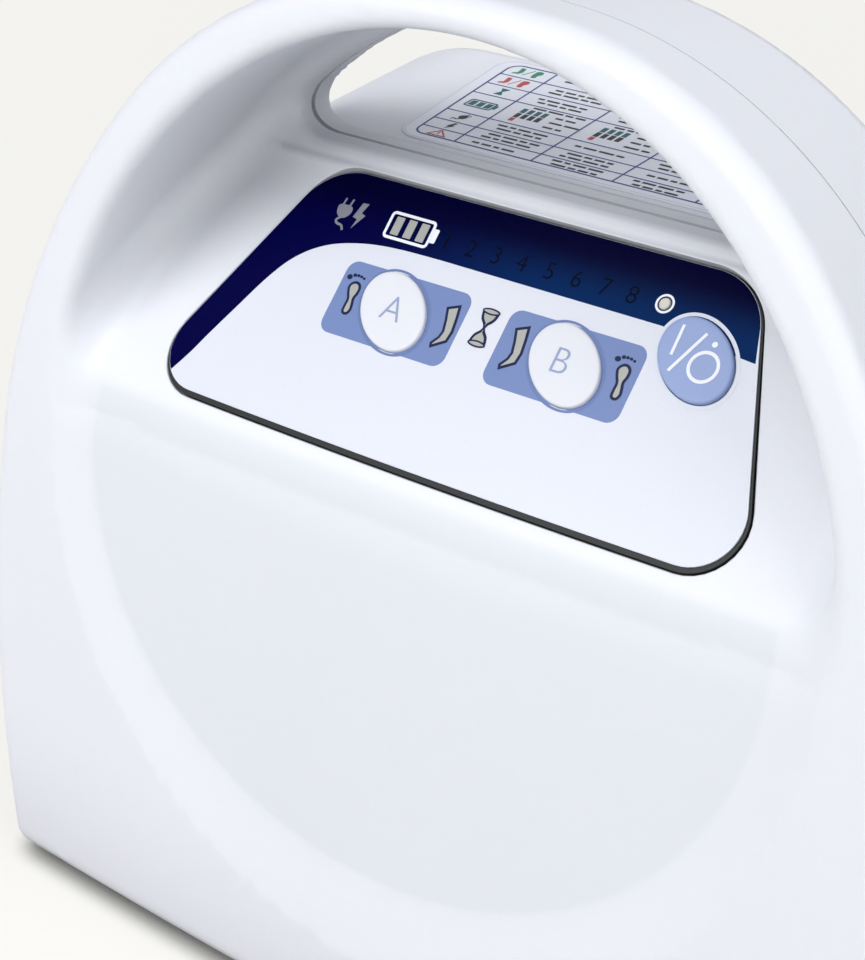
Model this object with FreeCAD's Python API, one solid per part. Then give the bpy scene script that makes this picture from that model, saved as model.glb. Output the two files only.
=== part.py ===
"""Compression therapy pump: a carry-handled case with a tilted key panel, a bed hook and two tubing ports.

Frame: millimetres, +Z up, the front faces -Y, the origin is the centre of the footprint.
"""
import FreeCAD, Part
import math
import os

V = FreeCAD.Vector

# ---- case ----------------------------------------------------------------------------------------
CASE_BASE_Z = 2.0            # underside of the case, above the rubber feet
BACK_Y = 55.8                # rear face of the case
SEAM_Y = -15.2               # parting plane between front and rear case
ARCH_BACK_Y = 6.5            # rear face of the handle arch
ARCH_BEVEL = 2.5             # bevel round the rear face of the arch
WALL = 3.0                   # general wall thickness
CROWN_Z = 187.5
# widest outline, from the crown down one side: tangent arcs (radius, angle from the vertical at the end)
OUTLINE_ARCS = [(178.0, 5.85), (78.5, 51.6), (120.0, 85.8), (357.0, 101.2)]
OUTLINE_Y = -45.0            # where the case has exactly this outline
SIDE_DRAFT = 1.2 / 29.8      # inset per millimetre towards the seam
BASE_CORNER_R = 3.5
NOSE_BEVEL = 2.2             # bevel of the front face's outer edge
NOSE_WALL = 6.0              # wall behind the front face on the centre line
# front face: a profile arc in the YZ plane, revolved about a far vertical axis
NOSE_PROFILE = [(-56.3, -5.0), (-46.7, 92.0), (-24.5, 195.0)]
NOSE_PLAN_R = 1800.0

# ---- control cavity and handle mouth -------------------------------------------------------------
BOWL_Z = 99.05               # height of the bowl's axis
BOWL_R = 80.6                # radius of the bowl at its back wall
BOWL_DRAFT = 0.035           # the bowl widens by this much per millimetre towards the front
ARC_Z = 100.65               # height of the centre of the recess's and the mouth's arcs
RECESS_R = 81.9              # outer edge of the oval recess, an arc that carries on from the bowl
BOWL_BACK_Y = -1.2
BOWL_SKIN = 2.4
BOWL_ROUND_R = 8.0           # soft roundings inside the bowl
RIM_BEVEL = 1.8              # bevel of the bowl's mouth
SHELF_TILT = 46.133          # the shelf climbs at this angle from the horizontal
SHELF_SKIN = 3.0
MOUTH_Z = 148.0              # lower edge of the handle mouth
MOUTH_TOP_R = 76.8           # upper edge of the mouth, an arc
MOUTH_END_R = 7.2
RECESS_DEPTH = 2.2           # shallow oval recess below the shelf
RECESS_Z = 98.0              # centre height of the recess floor, a half ellipse
RECESS_HALF = 73.3
RECESS_HEIGHT = 64.3

# ---- key panel, in its own plane: x right, y up the slope, z out of the panel --------------------
PANEL_ORIGIN = V(0.0, -20.0, 127.1)
PANEL_CORNERS = [(-45.0, 23.0, 12.0), (45.0, 23.0, 12.0), (64.1, -24.8, 8.5), (0.0, -25.9, 3000.0),
                 (-64.1, -24.8, 8.5)]
PLATE_MARGIN = 0.9           # dark plate showing round the white overlay
PLATE_GAP = 0.35
PLATE_BACK = -1.5
PLATE_TOP = 0.1
PLATE_LEDGE = 2.9            # width of the shelf ledge that carries the plate
OVERLAY_TOP = 0.4
KEY_TILT = 141.0             # direction of the long axis of each oval key
KEYS = {"key_a": (-18.06, 0.0), "key_b": (18.28, 0.0), "key_power": (40.1, 7.2)}
KEY_HALF = (8.5, 6.25)       # half axes of the key holes
KEY_GAP = 0.25
KEY_TOP = 1.3
KEY_LIP = 0.6                # the key's flange is wider than its hole by this much
KEY_TRAVEL = 0.6
LED_SPOT = (30.28, 14.93)
LED_R = 1.3
BOARD_TOP = -7.4             # upper face of the control board
BOARD_CORNERS = [(-55.5, 14.0, 0), (55.5, 14.0, 0), (65.0, -20.0, 0), (-65.0, -20.0, 0)]
BOARD_POSTS = [(52.3, 10.0), (-52.3, 10.0), (60.6, -12.0), (-60.6, -12.0)]

# ---- rear case -----------------------------------------------------------------------------------
BODY_HALF = 89.0             # half width of the rear body behind the arch
BODY_FRONT_Y = -5.0          # where the rear body starts, inside the arch
DECK_Z = 146.2               # rear deck just behind the arch
DECK_SLOPE = 5.5             # the deck climbs backwards at this angle
SHOULDER_R = 35.0
BODY_BASE_R = 6.0
REAR_BEVEL = 4.0             # bevel round the rear face of the case
DECK_LABEL = (-43.0, 43.0, 11.0, 51.0)

# ---- bed hook ------------------------------------------------------------------------------------
HINGE = V(0.0, 52.5, 128.0)
HOOK_BAY = (48.0, 51.5, 134.0, 48.0)     # half width, low z, high z, floor y
HOOK_BAY_SKIN = 2.4
LIP_SLOT = (36.4, 62.0)      # deepest y and top z of the slot for the hook's lip
HOOK_HALF = 46.5
HOOK_ARM = 12.5              # width of each arm
HOOK_BAR_Z = 68.0            # top of the hook's cross bar
HOOK_T = 6.0
HOOK_LOW_Z = 54.0
HOOK_LIP_Y = 38.0
HOOK_BORE_GAP = 0.08
PIN_R = 1.5
PIN_HALF = 53.5

# ---- ports ---------------------------------------------------------------------------------------
PORT_BAY = (-66.0, -6.0, 15.0, 39.0)     # x0, x1, z0, z1
NIPPLE_R = 2.4
NIPPLE_FOOT = 2.9            # half width of the square foot in the floor of the socket
NIPPLE_PITCH = 8.0
NIPPLE_BORE_R = 1.4
NIPPLE_TIP_Y = 53.5
PORT_FLOOR_Y = 45.0          # floor of the two tubing sockets
PORT_WALL = 2.0
MANIFOLD_Y = (33.0, 43.0)
MANIFOLD_Z = (18.0, 36.0)
INLET_X = 42.0
INLET_Z = 27.0
INLET_SOCKET = (12.2, 8.3, 17.0)         # half width, half height, depth of the mains socket

# ---- fixings -------------------------------------------------------------------------------------
SCREW_SPOTS = [(79.0, 17.0), (-79.0, 17.0), (72.0, 112.0), (-72.0, 112.0)]
FEET = [(70.0, -36.0), (-70.0, -36.0), (66.0, 42.0), (-66.0, 42.0)]
FOOT_R = 7.0
SCREW_R = 1.6
SCREW_WELL_R = 3.6
SCREW_HEAD_Y = -12.2         # floor of the screw wells

# ---- inside --------------------------------------------------------------------------------------
TRAY_Z = CASE_BASE_Z + WALL
TRAY_T = 2.0
TRAY_HALF = 76.0
TRAY_FRONT_Y = -44.0
TRAY_BACK_Y = 40.0
BOARD_Y = (30.0, 31.6)       # faces of the main board
MAIN_BOARD_POSTS = [(44.0, 72.0), (-44.0, 72.0), (44.0, 121.0), (-44.0, 121.0)]
SWITCH_TOP = -5.7            # key switches, in the panel's own plane
COMPRESSOR_Z = 13.0
MOTOR_R = 19.0
COMPRESSOR_HEAD_X = 44.0
TUBE_R = 2.4
SPRING_X = -28.0
SPRING_LENGTH = 5.4
SPRING_WIRE = 0.9
SPRING_R = 2.7
TUBE_POINTS = [V(40, 14, 38), V(3, 14, 38), V(3, 38, 27), V(-2, 38, 27)]


# ==== shape helpers ===============================================================================
def rounded_outline(corners):
    """Closed wire in the XY plane from (x, y, corner radius) triples."""
    count = len(corners)
    cuts = []
    for i in range(count):
        x, y, radius = corners[i]
        here = V(x, y, 0)
        before = (V(*corners[i - 1][:2], 0) - here).normalize()
        after = (V(*corners[(i + 1) % count][:2], 0) - here).normalize()
        half = before.getAngle(after) / 2
        if radius == 0:
            cuts.append((here, None, here))
            continue
        reach = radius / math.tan(half)
        middle = (before + after).normalize() * (radius / math.sin(half) - radius)
        cuts.append((here + before * reach, here + middle, here + after * reach))
    edges = []
    for i in range(count):
        start, middle, end = cuts[i]
        if middle is not None:
            edges.append(Part.Arc(start, middle, end).toShape())
        following = cuts[(i + 1) % count][0]
        if (following - end).Length > 1e-4:
            edges.append(Part.makeLine(end, following))
    return Part.Wire(edges)


def flat_plate(corners, low, high):
    """Prism over a rounded outline, from z = low to z = high."""
    face = Part.Face(rounded_outline(corners))
    face.translate(V(0, 0, low))
    return face.extrude(V(0, 0, high - low))


def upright(shape):
    """Turn a shape drawn as (x, z) in the XY plane so that its Z axis points to -Y."""
    shape.rotate(V(0, 0, 0), V(1, 0, 0), 90)
    return shape


def wall_plate(corners, front, back):
    """Prism over an (x, z) outline, from y = front to y = back."""
    return upright(flat_plate(corners, -back, -front))


def box(x0, x1, y0, y1, z0, z1):
    """Axis-aligned block between two corners."""
    return Part.makeBox(x1 - x0, y1 - y0, z1 - z0, V(x0, y0, z0))


def rect(x0, x1, y0, y1, radius=0.0):
    """Corner list of a rectangle."""
    return [(x0, y0, radius), (x1, y0, radius), (x1, y1, radius), (x0, y1, radius)]


def rod(start, end, radius):
    """Cylinder between two points."""
    return Part.makeCylinder(radius, (end - start).Length, start, end - start)


def oval(centre, half_long, half_short, tilt, low, high):
    """Elliptical prism with its long axis at a tilt in the XY plane."""
    curve = Part.Ellipse(V(0, 0, low), half_long, half_short)
    solid = Part.Face(Part.Wire([curve.toShape()])).extrude(V(0, 0, high - low))
    solid.rotate(V(0, 0, 0), V(0, 0, 1), tilt)
    solid.translate(V(centre[0], centre[1], 0))
    return solid


def edges_where(shape, test):
    """Edges whose middle point passes a test."""
    found = []
    for edge in shape.Edges:
        middle = edge.valueAt((edge.FirstParameter + edge.LastParameter) / 2)
        if test(middle, edge):
            found.append(edge)
    return found


def on_panel(shape):
    """Move a shape from the panel's own plane to its place on the shelf."""
    turn = FreeCAD.Rotation(V(1, 0, 0), SHELF_TILT)
    shape.Placement = FreeCAD.Placement(PANEL_ORIGIN, turn).multiply(shape.Placement)
    return shape


def grow(corners, margin):
    """Panel outline with every side moved outwards by a margin."""
    face = Part.Face(rounded_outline(corners))
    return face.makeOffset2D(margin)


def panel_prism(margin, low, high):
    """Prism over the grown panel outline."""
    face = grow(PANEL_CORNERS, margin) if margin else Part.Face(rounded_outline(PANEL_CORNERS))
    face.translate(V(0, 0, low))
    return face.extrude(V(0, 0, high - low))


def clean(shape):
    """One solid with its split faces joined."""
    return shape.removeSplitter()


# ==== case surfaces ===============================================================================
def outline_wire(inset, y):
    """Case outline moved inwards by an inset, standing in one y plane and running on under the base."""
    x, z, start = 0.0, CROWN_Z, 0.0
    arcs = []
    for radius, end in OUTLINE_ARCS:
        end = math.radians(end)
        centre = V(x - radius * math.sin(start), z - radius * math.cos(start), 0)
        angles = (start, (start + end) / 2, end)
        spots = [centre + V(math.sin(a), math.cos(a), 0) * (radius - inset) for a in angles]
        arcs.append(spots)
        x, z, start = centre.x + radius * math.sin(end), centre.y + radius * math.cos(end), end
    crown = arcs[0]
    edges = [Part.Arc(V(-crown[2].x, crown[2].y, 0), crown[0], crown[2]).toShape()]
    edges += [Part.Arc(*spots).toShape() for spots in arcs[1:]]
    low = arcs[-1][2]
    edges.append(Part.makeLine(low, V(-low.x, low.y, 0)))
    for spots in reversed(arcs[1:]):
        edges.append(Part.Arc(*[V(-p.x, p.y, 0) for p in reversed(spots)]).toShape())
    wire = Part.Wire(edges)
    wire.translate(V(0, 0, -y))
    return upright(wire)


def drafted_case(inset, front, back, bevel=0.0):
    """Solid between two y planes whose outline shrinks towards the back, with an optional bevelled back."""
    floor = CASE_BASE_Z + inset
    sections = [(front, 0.0), (back, 0.0)]
    if bevel:
        sections = [(front, 0.0), (back - bevel, 0.0), (back, bevel)]
    wires = [outline_wire(inset + extra + SIDE_DRAFT * (y - OUTLINE_Y), y) for y, extra in sections]
    solid = Part.makeLoft(wires, True, True).common(Part.makeBox(240, 200, 240, V(-120, -100, floor)))
    if inset:
        return solid
    low = edges_where(solid, lambda p, e: abs(p.z - floor) < 0.01 and abs(p.x) > 60)
    return solid.makeFillet(BASE_CORNER_R, low)


def nose_arc_points(shift):
    """Three points of the front face's profile arc, moved back by a shift."""
    return [V(0, y + shift, z) for y, z in NOSE_PROFILE]


def nose_axis():
    """A point on the far vertical axis of the front face."""
    return V(0, NOSE_PROFILE[0][0] + NOSE_PLAN_R, 0)


def profile_face(shift):
    """Flat side view of all that lies behind the front face, moved back by a shift."""
    points = nose_arc_points(shift)
    far = 120.0
    low, high = V(0, far, points[0].z), V(0, far, points[2].z)
    edges = [Part.Arc(*points).toShape(), Part.makeLine(points[2], high),
             Part.makeLine(high, low), Part.makeLine(low, points[0])]
    return Part.Face(Part.Wire(edges))


def behind_nose(shift):
    """Everything behind the curved front face, moved back by a shift."""
    face = profile_face(shift)
    face.rotate(nose_axis(), V(0, 0, 1), -5)
    return face.revolve(nose_axis(), V(0, 0, 1), 10)


def nose_point(x, z, shift=0.0):
    """Point of the front face at one x and z."""
    circle = Part.Arc(*nose_arc_points(shift)).toShape().Curve
    profile_y = circle.Center.y - math.sqrt(circle.Radius ** 2 - (z - circle.Center.z) ** 2)
    reach = nose_axis().y - profile_y
    return V(x, nose_axis().y - math.sqrt(reach ** 2 - x ** 2), z)


def above_shelf(drop):
    """Half space over the shelf plane, which is lowered by a drop along its normal."""
    slab = Part.makeBox(240, 200, 140, V(-120, -100, 0))
    slab.translate(V(0, 0, -drop))
    return on_panel(slab)


def bowl(skin):
    """Control cavity: a tapered drum cut off by the tilted shelf, softly rounded unless it is grown."""
    front, back = -75.0, BOWL_BACK_Y + skin
    radius = BOWL_R + skin
    length = back - front
    drum = Part.makeCone(radius + BOWL_DRAFT * length, radius, length, V(0, front, BOWL_Z), V(0, 1, 0))
    solid = drum.common(above_shelf(SHELF_SKIN if skin else 0.0))
    if skin:
        return solid
    return solid.makeFillet(BOWL_ROUND_R, edges_where(solid, lambda p, e: p.y > front + 1))


def mouth(margin, front, back):
    """Handle mouth: rounded ends, an arched top and a straight sill."""
    end_r, top_r = MOUTH_END_R + margin, MOUTH_TOP_R + margin
    sill = MOUTH_Z - margin
    end_z = sill + end_r
    # the end circle touches the top arc from inside
    end_x = math.sqrt((top_r - end_r) ** 2 - (end_z - ARC_Z) ** 2)
    touch = V(end_x, end_z - ARC_Z, 0).normalize() * top_r + V(0, ARC_Z, 0)
    flip = V(-touch.x, touch.y, 0)
    side = V(end_x + end_r, end_z, 0)
    edges = [Part.makeLine(V(-end_x, sill, 0), V(end_x, sill, 0)),
             Part.Arc(V(end_x, sill, 0), side, touch).toShape(),
             Part.Arc(touch, V(0, ARC_Z + top_r, 0), flip).toShape(),
             Part.Arc(flip, V(-side.x, side.y, 0), V(-end_x, sill, 0)).toShape()]
    face = Part.Face(Part.Wire(edges))
    face.translate(V(0, 0, -back))
    return upright(face.extrude(V(0, 0, back - front)))


def smooth_edge(points):
    """Edge of a smooth curve through points."""
    curve = Part.BSplineCurve()
    curve.interpolate(points)
    return curve.toShape()


def oval_recess():
    """Cutter of the shallow oval recess under the shelf: a level floor inside a sloping border."""
    steps = 8
    outer, inner, middle = [], [], []
    for i in range(steps + 1):
        angle = math.radians(-92 + 184 * i / steps)
        rim = nose_point(RECESS_R * math.sin(angle), ARC_Z - RECESS_R * math.cos(angle))
        floor = nose_point(RECESS_HALF * math.sin(angle), RECESS_Z - RECESS_HEIGHT * math.cos(angle),
                           RECESS_DEPTH)
        outer.append(floor + (rim - floor) * 1.12)
        inner.append(floor - (rim - floor) * 0.10)
        middle.append(floor - (rim - floor) * 0.05)
    floor_zone = behind_nose(RECESS_DEPTH)
    border = Part.makeRuledSurface(smooth_edge(outer), smooth_edge(inner)).extrude(V(0, -25, 0))
    flat = [V(p.x, -80, p.z) for p in middle]
    outline = Part.Wire([smooth_edge(flat), Part.makeLine(flat[-1], flat[0])])
    centre = Part.Face(outline).extrude(V(0, 60, 0))
    return border.cut(floor_zone).fuse(centre.cut(floor_zone))


# ==== front case ==================================================================================
def front_shell():
    """Outer body of the front case, with its bevelled front edge and open back."""
    solid = drafted_case(0.0, -62.0, SEAM_Y).common(behind_nose(0.0))
    rim = edges_where(solid, lambda p, e: (p - nose_point(p.x, p.z)).Length < 0.05)
    solid = solid.makeChamfer(NOSE_BEVEL, rim)
    inner = profile_face(NOSE_WALL)
    inner.translate(V(-120, 0, 0))
    hollow = drafted_case(WALL, -62.0, SEAM_Y + 1).common(inner.extrude(V(240, 0, 0)))
    return solid.cut(hollow)


def on_bowl_rim(middle, edge):
    """True for the edges where the bowl opens through the front face."""
    on_nose = (middle - nose_point(middle.x, middle.z)).Length < 0.05
    return on_nose and math.hypot(middle.x, middle.z - ARC_Z) < RECESS_R + 2


def screw_tip_y(z):
    """Depth of a case screw: the low pair is longer."""
    return -38.0 if z < 50 else -26.0


def front_case():
    """Front case: curved nose, control cavity with its shelf, handle front and shallow oval recess."""
    solid = front_shell()
    skin = bowl(BOWL_SKIN).common(behind_nose(0.5))
    posts = [on_panel(rod(V(x, y, BOARD_TOP), V(x, y, -2), 2.3)) for x, y in BOARD_POSTS]
    bosses = [rod(V(x, -52, z), V(x, SEAM_Y, z), 5.0) for x, z in SCREW_SPOTS[:2]]
    bosses += [rod(V(x, -36, z), V(x, SEAM_Y, z), 5.0) for x, z in SCREW_SPOTS[2:]]
    solid = solid.fuse(skin).cut(bowl(0.0))
    solid = solid.makeChamfer(RIM_BEVEL, edges_where(solid, on_bowl_rim))
    solid = solid.cut(oval_recess())
    solid = solid.fuse([part.cut(bowl(BOWL_SKIN / 2)) for part in posts + bosses])
    pocket = on_panel(panel_prism(PLATE_MARGIN + PLATE_GAP, PLATE_BACK, 5))
    window = on_panel(panel_prism(PLATE_MARGIN - PLATE_LEDGE, -SHELF_SKIN - 3, 0))
    cuts = [pocket, window, mouth(0.0, -8, 4)]
    cuts += [rod(V(x, screw_tip_y(z), z), V(x, SEAM_Y, z), SCREW_R) for x, z in SCREW_SPOTS]
    return clean(solid.cut(cuts))


# ==== rear case ===================================================================================
def deck_height(y):
    """Height of the sloping rear deck."""
    return DECK_Z + math.tan(math.radians(DECK_SLOPE)) * (y - ARCH_BACK_Y)


def rear_body(inset, front, back):
    """Rear body behind the arch: upright sides, round shoulders and a sloping deck."""
    half, floor = BODY_HALF - inset, CASE_BASE_Z + inset
    top = [V(0, y, deck_height(y) - inset) for y in (front, back)]
    side = Part.makePolygon([V(0, front, floor), V(0, back, floor), top[1], top[0], V(0, front, floor)])
    face = Part.Face(side)
    face.translate(V(-half, 0, 0))
    solid = face.extrude(V(2 * half, 0, 0))
    lengthwise = edges_where(solid, lambda p, e: abs(abs(p.x) - half) < 0.01
                             and front + 1 < p.y < back - 1)
    shoulders = [e for e in lengthwise if e.CenterOfMass.z > 100]
    solid = solid.makeFillet(SHOULDER_R - inset, shoulders)
    return solid.makeFillet(BODY_BASE_R - inset, edges_where(solid, lambda p, e: abs(p.z - floor) < 0.01
                                                             and abs(abs(p.x) - half) < 0.01))


def rear_shell():
    """Hollow rear case: handle arch and body, without its fittings."""
    arch = drafted_case(0.0, SEAM_Y, ARCH_BACK_Y, ARCH_BEVEL)
    body = rear_body(0.0, BODY_FRONT_Y, BACK_Y)
    body = body.makeChamfer(REAR_BEVEL, edges_where(body, lambda p, e: p.y > BACK_Y - 0.1))
    hollow = drafted_case(WALL, SEAM_Y - 1, ARCH_BACK_Y - WALL)
    hollow = hollow.fuse(rear_body(WALL, BODY_FRONT_Y + WALL, BACK_Y - WALL))
    return arch.fuse(body).cut(hollow)


def bay_block(grow_by, depth_extra):
    """Space of the hook bay with the slot for the hook's lip; grown, it is the bay's outer wall."""
    half, low, high, floor_y = HOOK_BAY
    radius = 4.0 + grow_by
    bay = wall_plate(rect(-half - grow_by, half + grow_by, low - grow_by, high + grow_by, radius),
                     floor_y - grow_by, BACK_Y + depth_extra)
    slot_y, slot_top = LIP_SLOT
    slot = wall_plate(rect(-half + 2 - grow_by, half - 2 + grow_by, low - grow_by, slot_top + grow_by,
                           2.0 + grow_by), slot_y - grow_by, floor_y + 1)
    return bay.fuse(slot)


def socket_outline(side):
    """Corner list of one tubing socket: side 0 is the left one, side 1 the right one."""
    x0, x1, z0, z1 = PORT_BAY
    middle = (x0 + x1) / 2
    spans = [(x0 + PORT_WALL, middle - PORT_WALL / 2), (middle + PORT_WALL / 2, x1 - PORT_WALL)]
    return rect(*spans[side], z0 + PORT_WALL, z1 - PORT_WALL, 2.0)


def nipple_spots():
    """(x, z) of the air nipples, three in each socket."""
    x0, x1, z0, z1 = PORT_BAY
    quarter = (x1 - x0) / 4
    centres = [x0 + quarter + PORT_WALL / 4, x1 - quarter - PORT_WALL / 4]
    return [(c + k * NIPPLE_PITCH, (z0 + z1) / 2) for c in centres for k in (-1, 0, 1)]


def inlet_outline(margin, radius):
    """Corner list of a rounded rectangle round the mains socket."""
    half, high, _ = INLET_SOCKET
    return rect(INLET_X - half - margin, INLET_X + half + margin,
                INLET_Z - high - margin, INLET_Z + high + margin, radius)


def rear_case():
    """Rear case with the hook bay, screw wells, port window, inlet window and board posts."""
    solid = rear_shell()
    ring = mouth(BOWL_SKIN, BOWL_BACK_Y + BOWL_SKIN + 0.3, ARCH_BACK_Y - 1)
    wells = [rod(V(x, SEAM_Y, z), V(x, BACK_Y - 1, z), SCREW_WELL_R + 1.6) for x, z in SCREW_SPOTS]
    boss_y = HINGE.y - 0.5
    hinge_ends = [rod(V(x, boss_y, HINGE.z), V(x + math.copysign(7, x), boss_y, HINGE.z), 4.0)
                  for x in (HOOK_BAY[0], -HOOK_BAY[0])]
    posts = [rod(V(x, BOARD_Y[1], z), V(x, HOOK_BAY[3] - 1, z), 3.0) for x, z in MAIN_BOARD_POSTS]
    added = [ring, bay_block(HOOK_BAY_SKIN, -1)] + wells + hinge_ends + posts
    inside = rear_body(0.5, SEAM_Y, BACK_Y - 0.5).fuse(drafted_case(0.5, SEAM_Y, ARCH_BACK_Y - 0.5))
    solid = solid.fuse([part.common(inside) for part in added])
    cuts = [mouth(0.0, -20, 20), bowl(BOWL_SKIN + 0.3), bay_block(0.0, 5)]
    cuts += [rod(V(x, SCREW_HEAD_Y, z), V(x, BACK_Y + 5, z), SCREW_WELL_R) for x, z in SCREW_SPOTS]
    cuts += [rod(V(x, SEAM_Y - 1, z), V(x, 0, z), SCREW_R) for x, z in SCREW_SPOTS]
    cuts += [rod(V(-PIN_HALF, HINGE.y, HINGE.z), V(PIN_HALF, HINGE.y, HINGE.z), PIN_R)]
    x0, x1, z0, z1 = PORT_BAY
    cuts += [wall_plate(rect(x0 - 0.1, x1 + 0.1, z0 - 0.1, z1 + 0.1, 3.1), 48, BACK_Y + 5)]
    cuts += [wall_plate(inlet_outline(2.1, 0), 48, BACK_Y + 5),
             wall_plate(inlet_outline(4.1, 3.1), BACK_Y - 1.5, BACK_Y + 5)]
    return clean(solid.cut(cuts))


# ==== key panel ===================================================================================
def key_holes(growth, low, high):
    """Oval cutters for the three keys."""
    long_half, short_half = KEY_HALF
    return [oval(c, long_half + growth, short_half + growth, KEY_TILT, low, high) for c in KEYS.values()]


def led_hole(growth):
    """Cutter for the status light."""
    return rod(V(*LED_SPOT, -9), V(*LED_SPOT, 3), LED_R + growth)


def panel_plate():
    """Dark moulded plate that carries the overlay and guides the keys."""
    plate = panel_prism(PLATE_MARGIN, PLATE_BACK, PLATE_TOP)
    return on_panel(plate.cut(key_holes(0.0, -5, 5) + [led_hole(0.0)]))


def panel_overlay():
    """Printed overlay bonded on the plate."""
    sheet = panel_prism(0.0, PLATE_TOP, OVERLAY_TOP)
    return on_panel(sheet.cut(key_holes(0.0, -5, 5) + [led_hole(0.0)]))


def key(name):
    """One oval key: bevelled cap, retaining flange under the plate, and a stem."""
    x, y = KEYS[name]
    long_half, short_half = KEY_HALF
    cap = oval((x, y), long_half - KEY_GAP, short_half - KEY_GAP, KEY_TILT, PLATE_BACK - 0.3, KEY_TOP)
    cap = cap.makeChamfer(0.35, edges_where(cap, lambda p, e: p.z > KEY_TOP - 0.01))
    flange = oval((x, y), long_half + KEY_LIP, short_half + KEY_LIP, KEY_TILT,
                  PLATE_BACK - 1.4, PLATE_BACK - 0.3)
    stem = box(x - 2, x + 2, y - 2, y + 2, SWITCH_TOP + KEY_TRAVEL + 0.05, PLATE_BACK - 1)
    return on_panel(cap.fuse([flange, stem]))


def status_lens():
    """Light pipe from the control board up through the overlay, with a chamfered end."""
    pipe = rod(V(*LED_SPOT, BOARD_TOP), V(*LED_SPOT, OVERLAY_TOP + 0.2), LED_R)
    foot = rod(V(*LED_SPOT, BOARD_TOP), V(*LED_SPOT, BOARD_TOP + 3), LED_R + 0.8)
    pipe = pipe.makeChamfer(0.4, edges_where(pipe, lambda p, e: p.z > OVERLAY_TOP))
    return on_panel(pipe.fuse(foot))


def control_board():
    """Circuit board under the panel, screwed to the four posts of the shelf."""
    board = flat_plate(BOARD_CORNERS, BOARD_TOP - 1.6, BOARD_TOP)
    chips = [box(-38, -24, -14, -2, BOARD_TOP - 3.0, BOARD_TOP - 1.6),
             box(4, 22, -12, 0, BOARD_TOP - 3.4, BOARD_TOP - 1.6),
             box(-10, 10, 6, 12, BOARD_TOP - 4.6, BOARD_TOP - 1.6)]
    return on_panel(board.fuse(chips))


def key_switches():
    """Three push switches, one under each key."""
    switches = []
    for x, y in KEYS.values():
        base = box(x - 3, x + 3, y - 3, y + 3, BOARD_TOP, SWITCH_TOP - 0.5)
        button = box(x - 1.5, x + 1.5, y - 1.5, y + 1.5, BOARD_TOP, SWITCH_TOP)
        switches.append(on_panel(base.fuse(button)))
    return Part.makeCompound(switches)


def buzzer():
    """Round sounder on the underside of the control board."""
    low = BOARD_TOP - 1.6
    return on_panel(rod(V(42, -10, low - 5), V(42, -10, low), 6.0))


# ==== bed hook ====================================================================================
def bed_hook():
    """Swing-out hook: two arms, a cross bar and a lip that reaches into the case when folded."""
    back, front = HINGE.y + HOOK_T / 2, HINGE.y - HOOK_T / 2
    corners = [(-HOOK_HALF, HOOK_LOW_Z, 7), (HOOK_HALF, HOOK_LOW_Z, 7),
               (HOOK_HALF, HINGE.z, 0), (-HOOK_HALF, HINGE.z, 0)]
    frame = wall_plate(corners, front, back)
    outer = edges_where(frame, lambda p, e: abs(p.y - back) < 0.01 and p.z < HINGE.z - 1)
    frame = frame.makeChamfer(1.0, outer)
    inner = HOOK_HALF - HOOK_ARM
    frame = frame.cut(wall_plate(rect(-inner, inner, HOOK_BAR_Z, HINGE.z + 20, 6), 0, 90))
    barrels = [rod(V(x0, HINGE.y, HINGE.z), V(x0 + HOOK_ARM, HINGE.y, HINGE.z), HOOK_T / 2)
               for x0 in (-HOOK_HALF, inner)]
    lip = wall_plate(rect(-40, 40, HOOK_LOW_Z, HOOK_LOW_Z + 6), HOOK_LIP_Y, front + 1)
    lip = lip.makeChamfer(1.0, edges_where(lip, lambda p, e: abs(p.y - HOOK_LIP_Y) < 0.01))
    ribs = [box(x - 1, x + 1, front - 4, front + 1, HOOK_LOW_Z + 5, HOOK_LOW_Z + 7) for x in (-24, 0, 24)]
    bore = rod(V(-60, HINGE.y, HINGE.z), V(60, HINGE.y, HINGE.z), PIN_R + HOOK_BORE_GAP)
    return clean(frame.fuse(barrels + [lip] + ribs).cut(bore))


def hook_pads():
    """Rubber pads that grip the bed rail, on the inner face of the cross bar."""
    front = HINGE.y - HOOK_T / 2
    pads = []
    for x in (-24, 24):
        pads.append(box(x - 8, x + 8, front - 0.8, front, HOOK_LOW_Z + 8, HOOK_LOW_Z + 13))
    return Part.makeCompound(pads)


def hook_pin():
    """Steel hinge pin held in the side walls of the bay."""
    return rod(V(-PIN_HALF, HINGE.y, HINGE.z), V(PIN_HALF, HINGE.y, HINGE.z), PIN_R)


def hook_spring():
    """Torsion spring round the pin: a sleeve of coils with one leg on the floor of the bay."""
    x0, x1 = SPRING_X, SPRING_X + SPRING_LENGTH
    floor = HOOK_BAY[3]
    sleeve = rod(V(x0, HINGE.y, HINGE.z), V(x1, HINGE.y, HINGE.z), SPRING_R)
    link = box(x0, x0 + SPRING_WIRE, floor, HINGE.y - PIN_R - 0.4, HINGE.z - 2, HINGE.z - 2 + SPRING_WIRE)
    leg = box(x0, x0 + SPRING_WIRE, floor, floor + SPRING_WIRE, HINGE.z - 11, HINGE.z - 1.5)
    return sleeve.fuse([link, leg]).cut(rod(V(-60, HINGE.y, HINGE.z), V(60, HINGE.y, HINGE.z), PIN_R))


# ==== ports =======================================================================================
def nipple_foot(x, z, front, back):
    """Square foot of one air nipple, from y = front to y = back."""
    return box(x - NIPPLE_FOOT, x + NIPPLE_FOOT, front, back, z - NIPPLE_FOOT, z + NIPPLE_FOOT)


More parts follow.
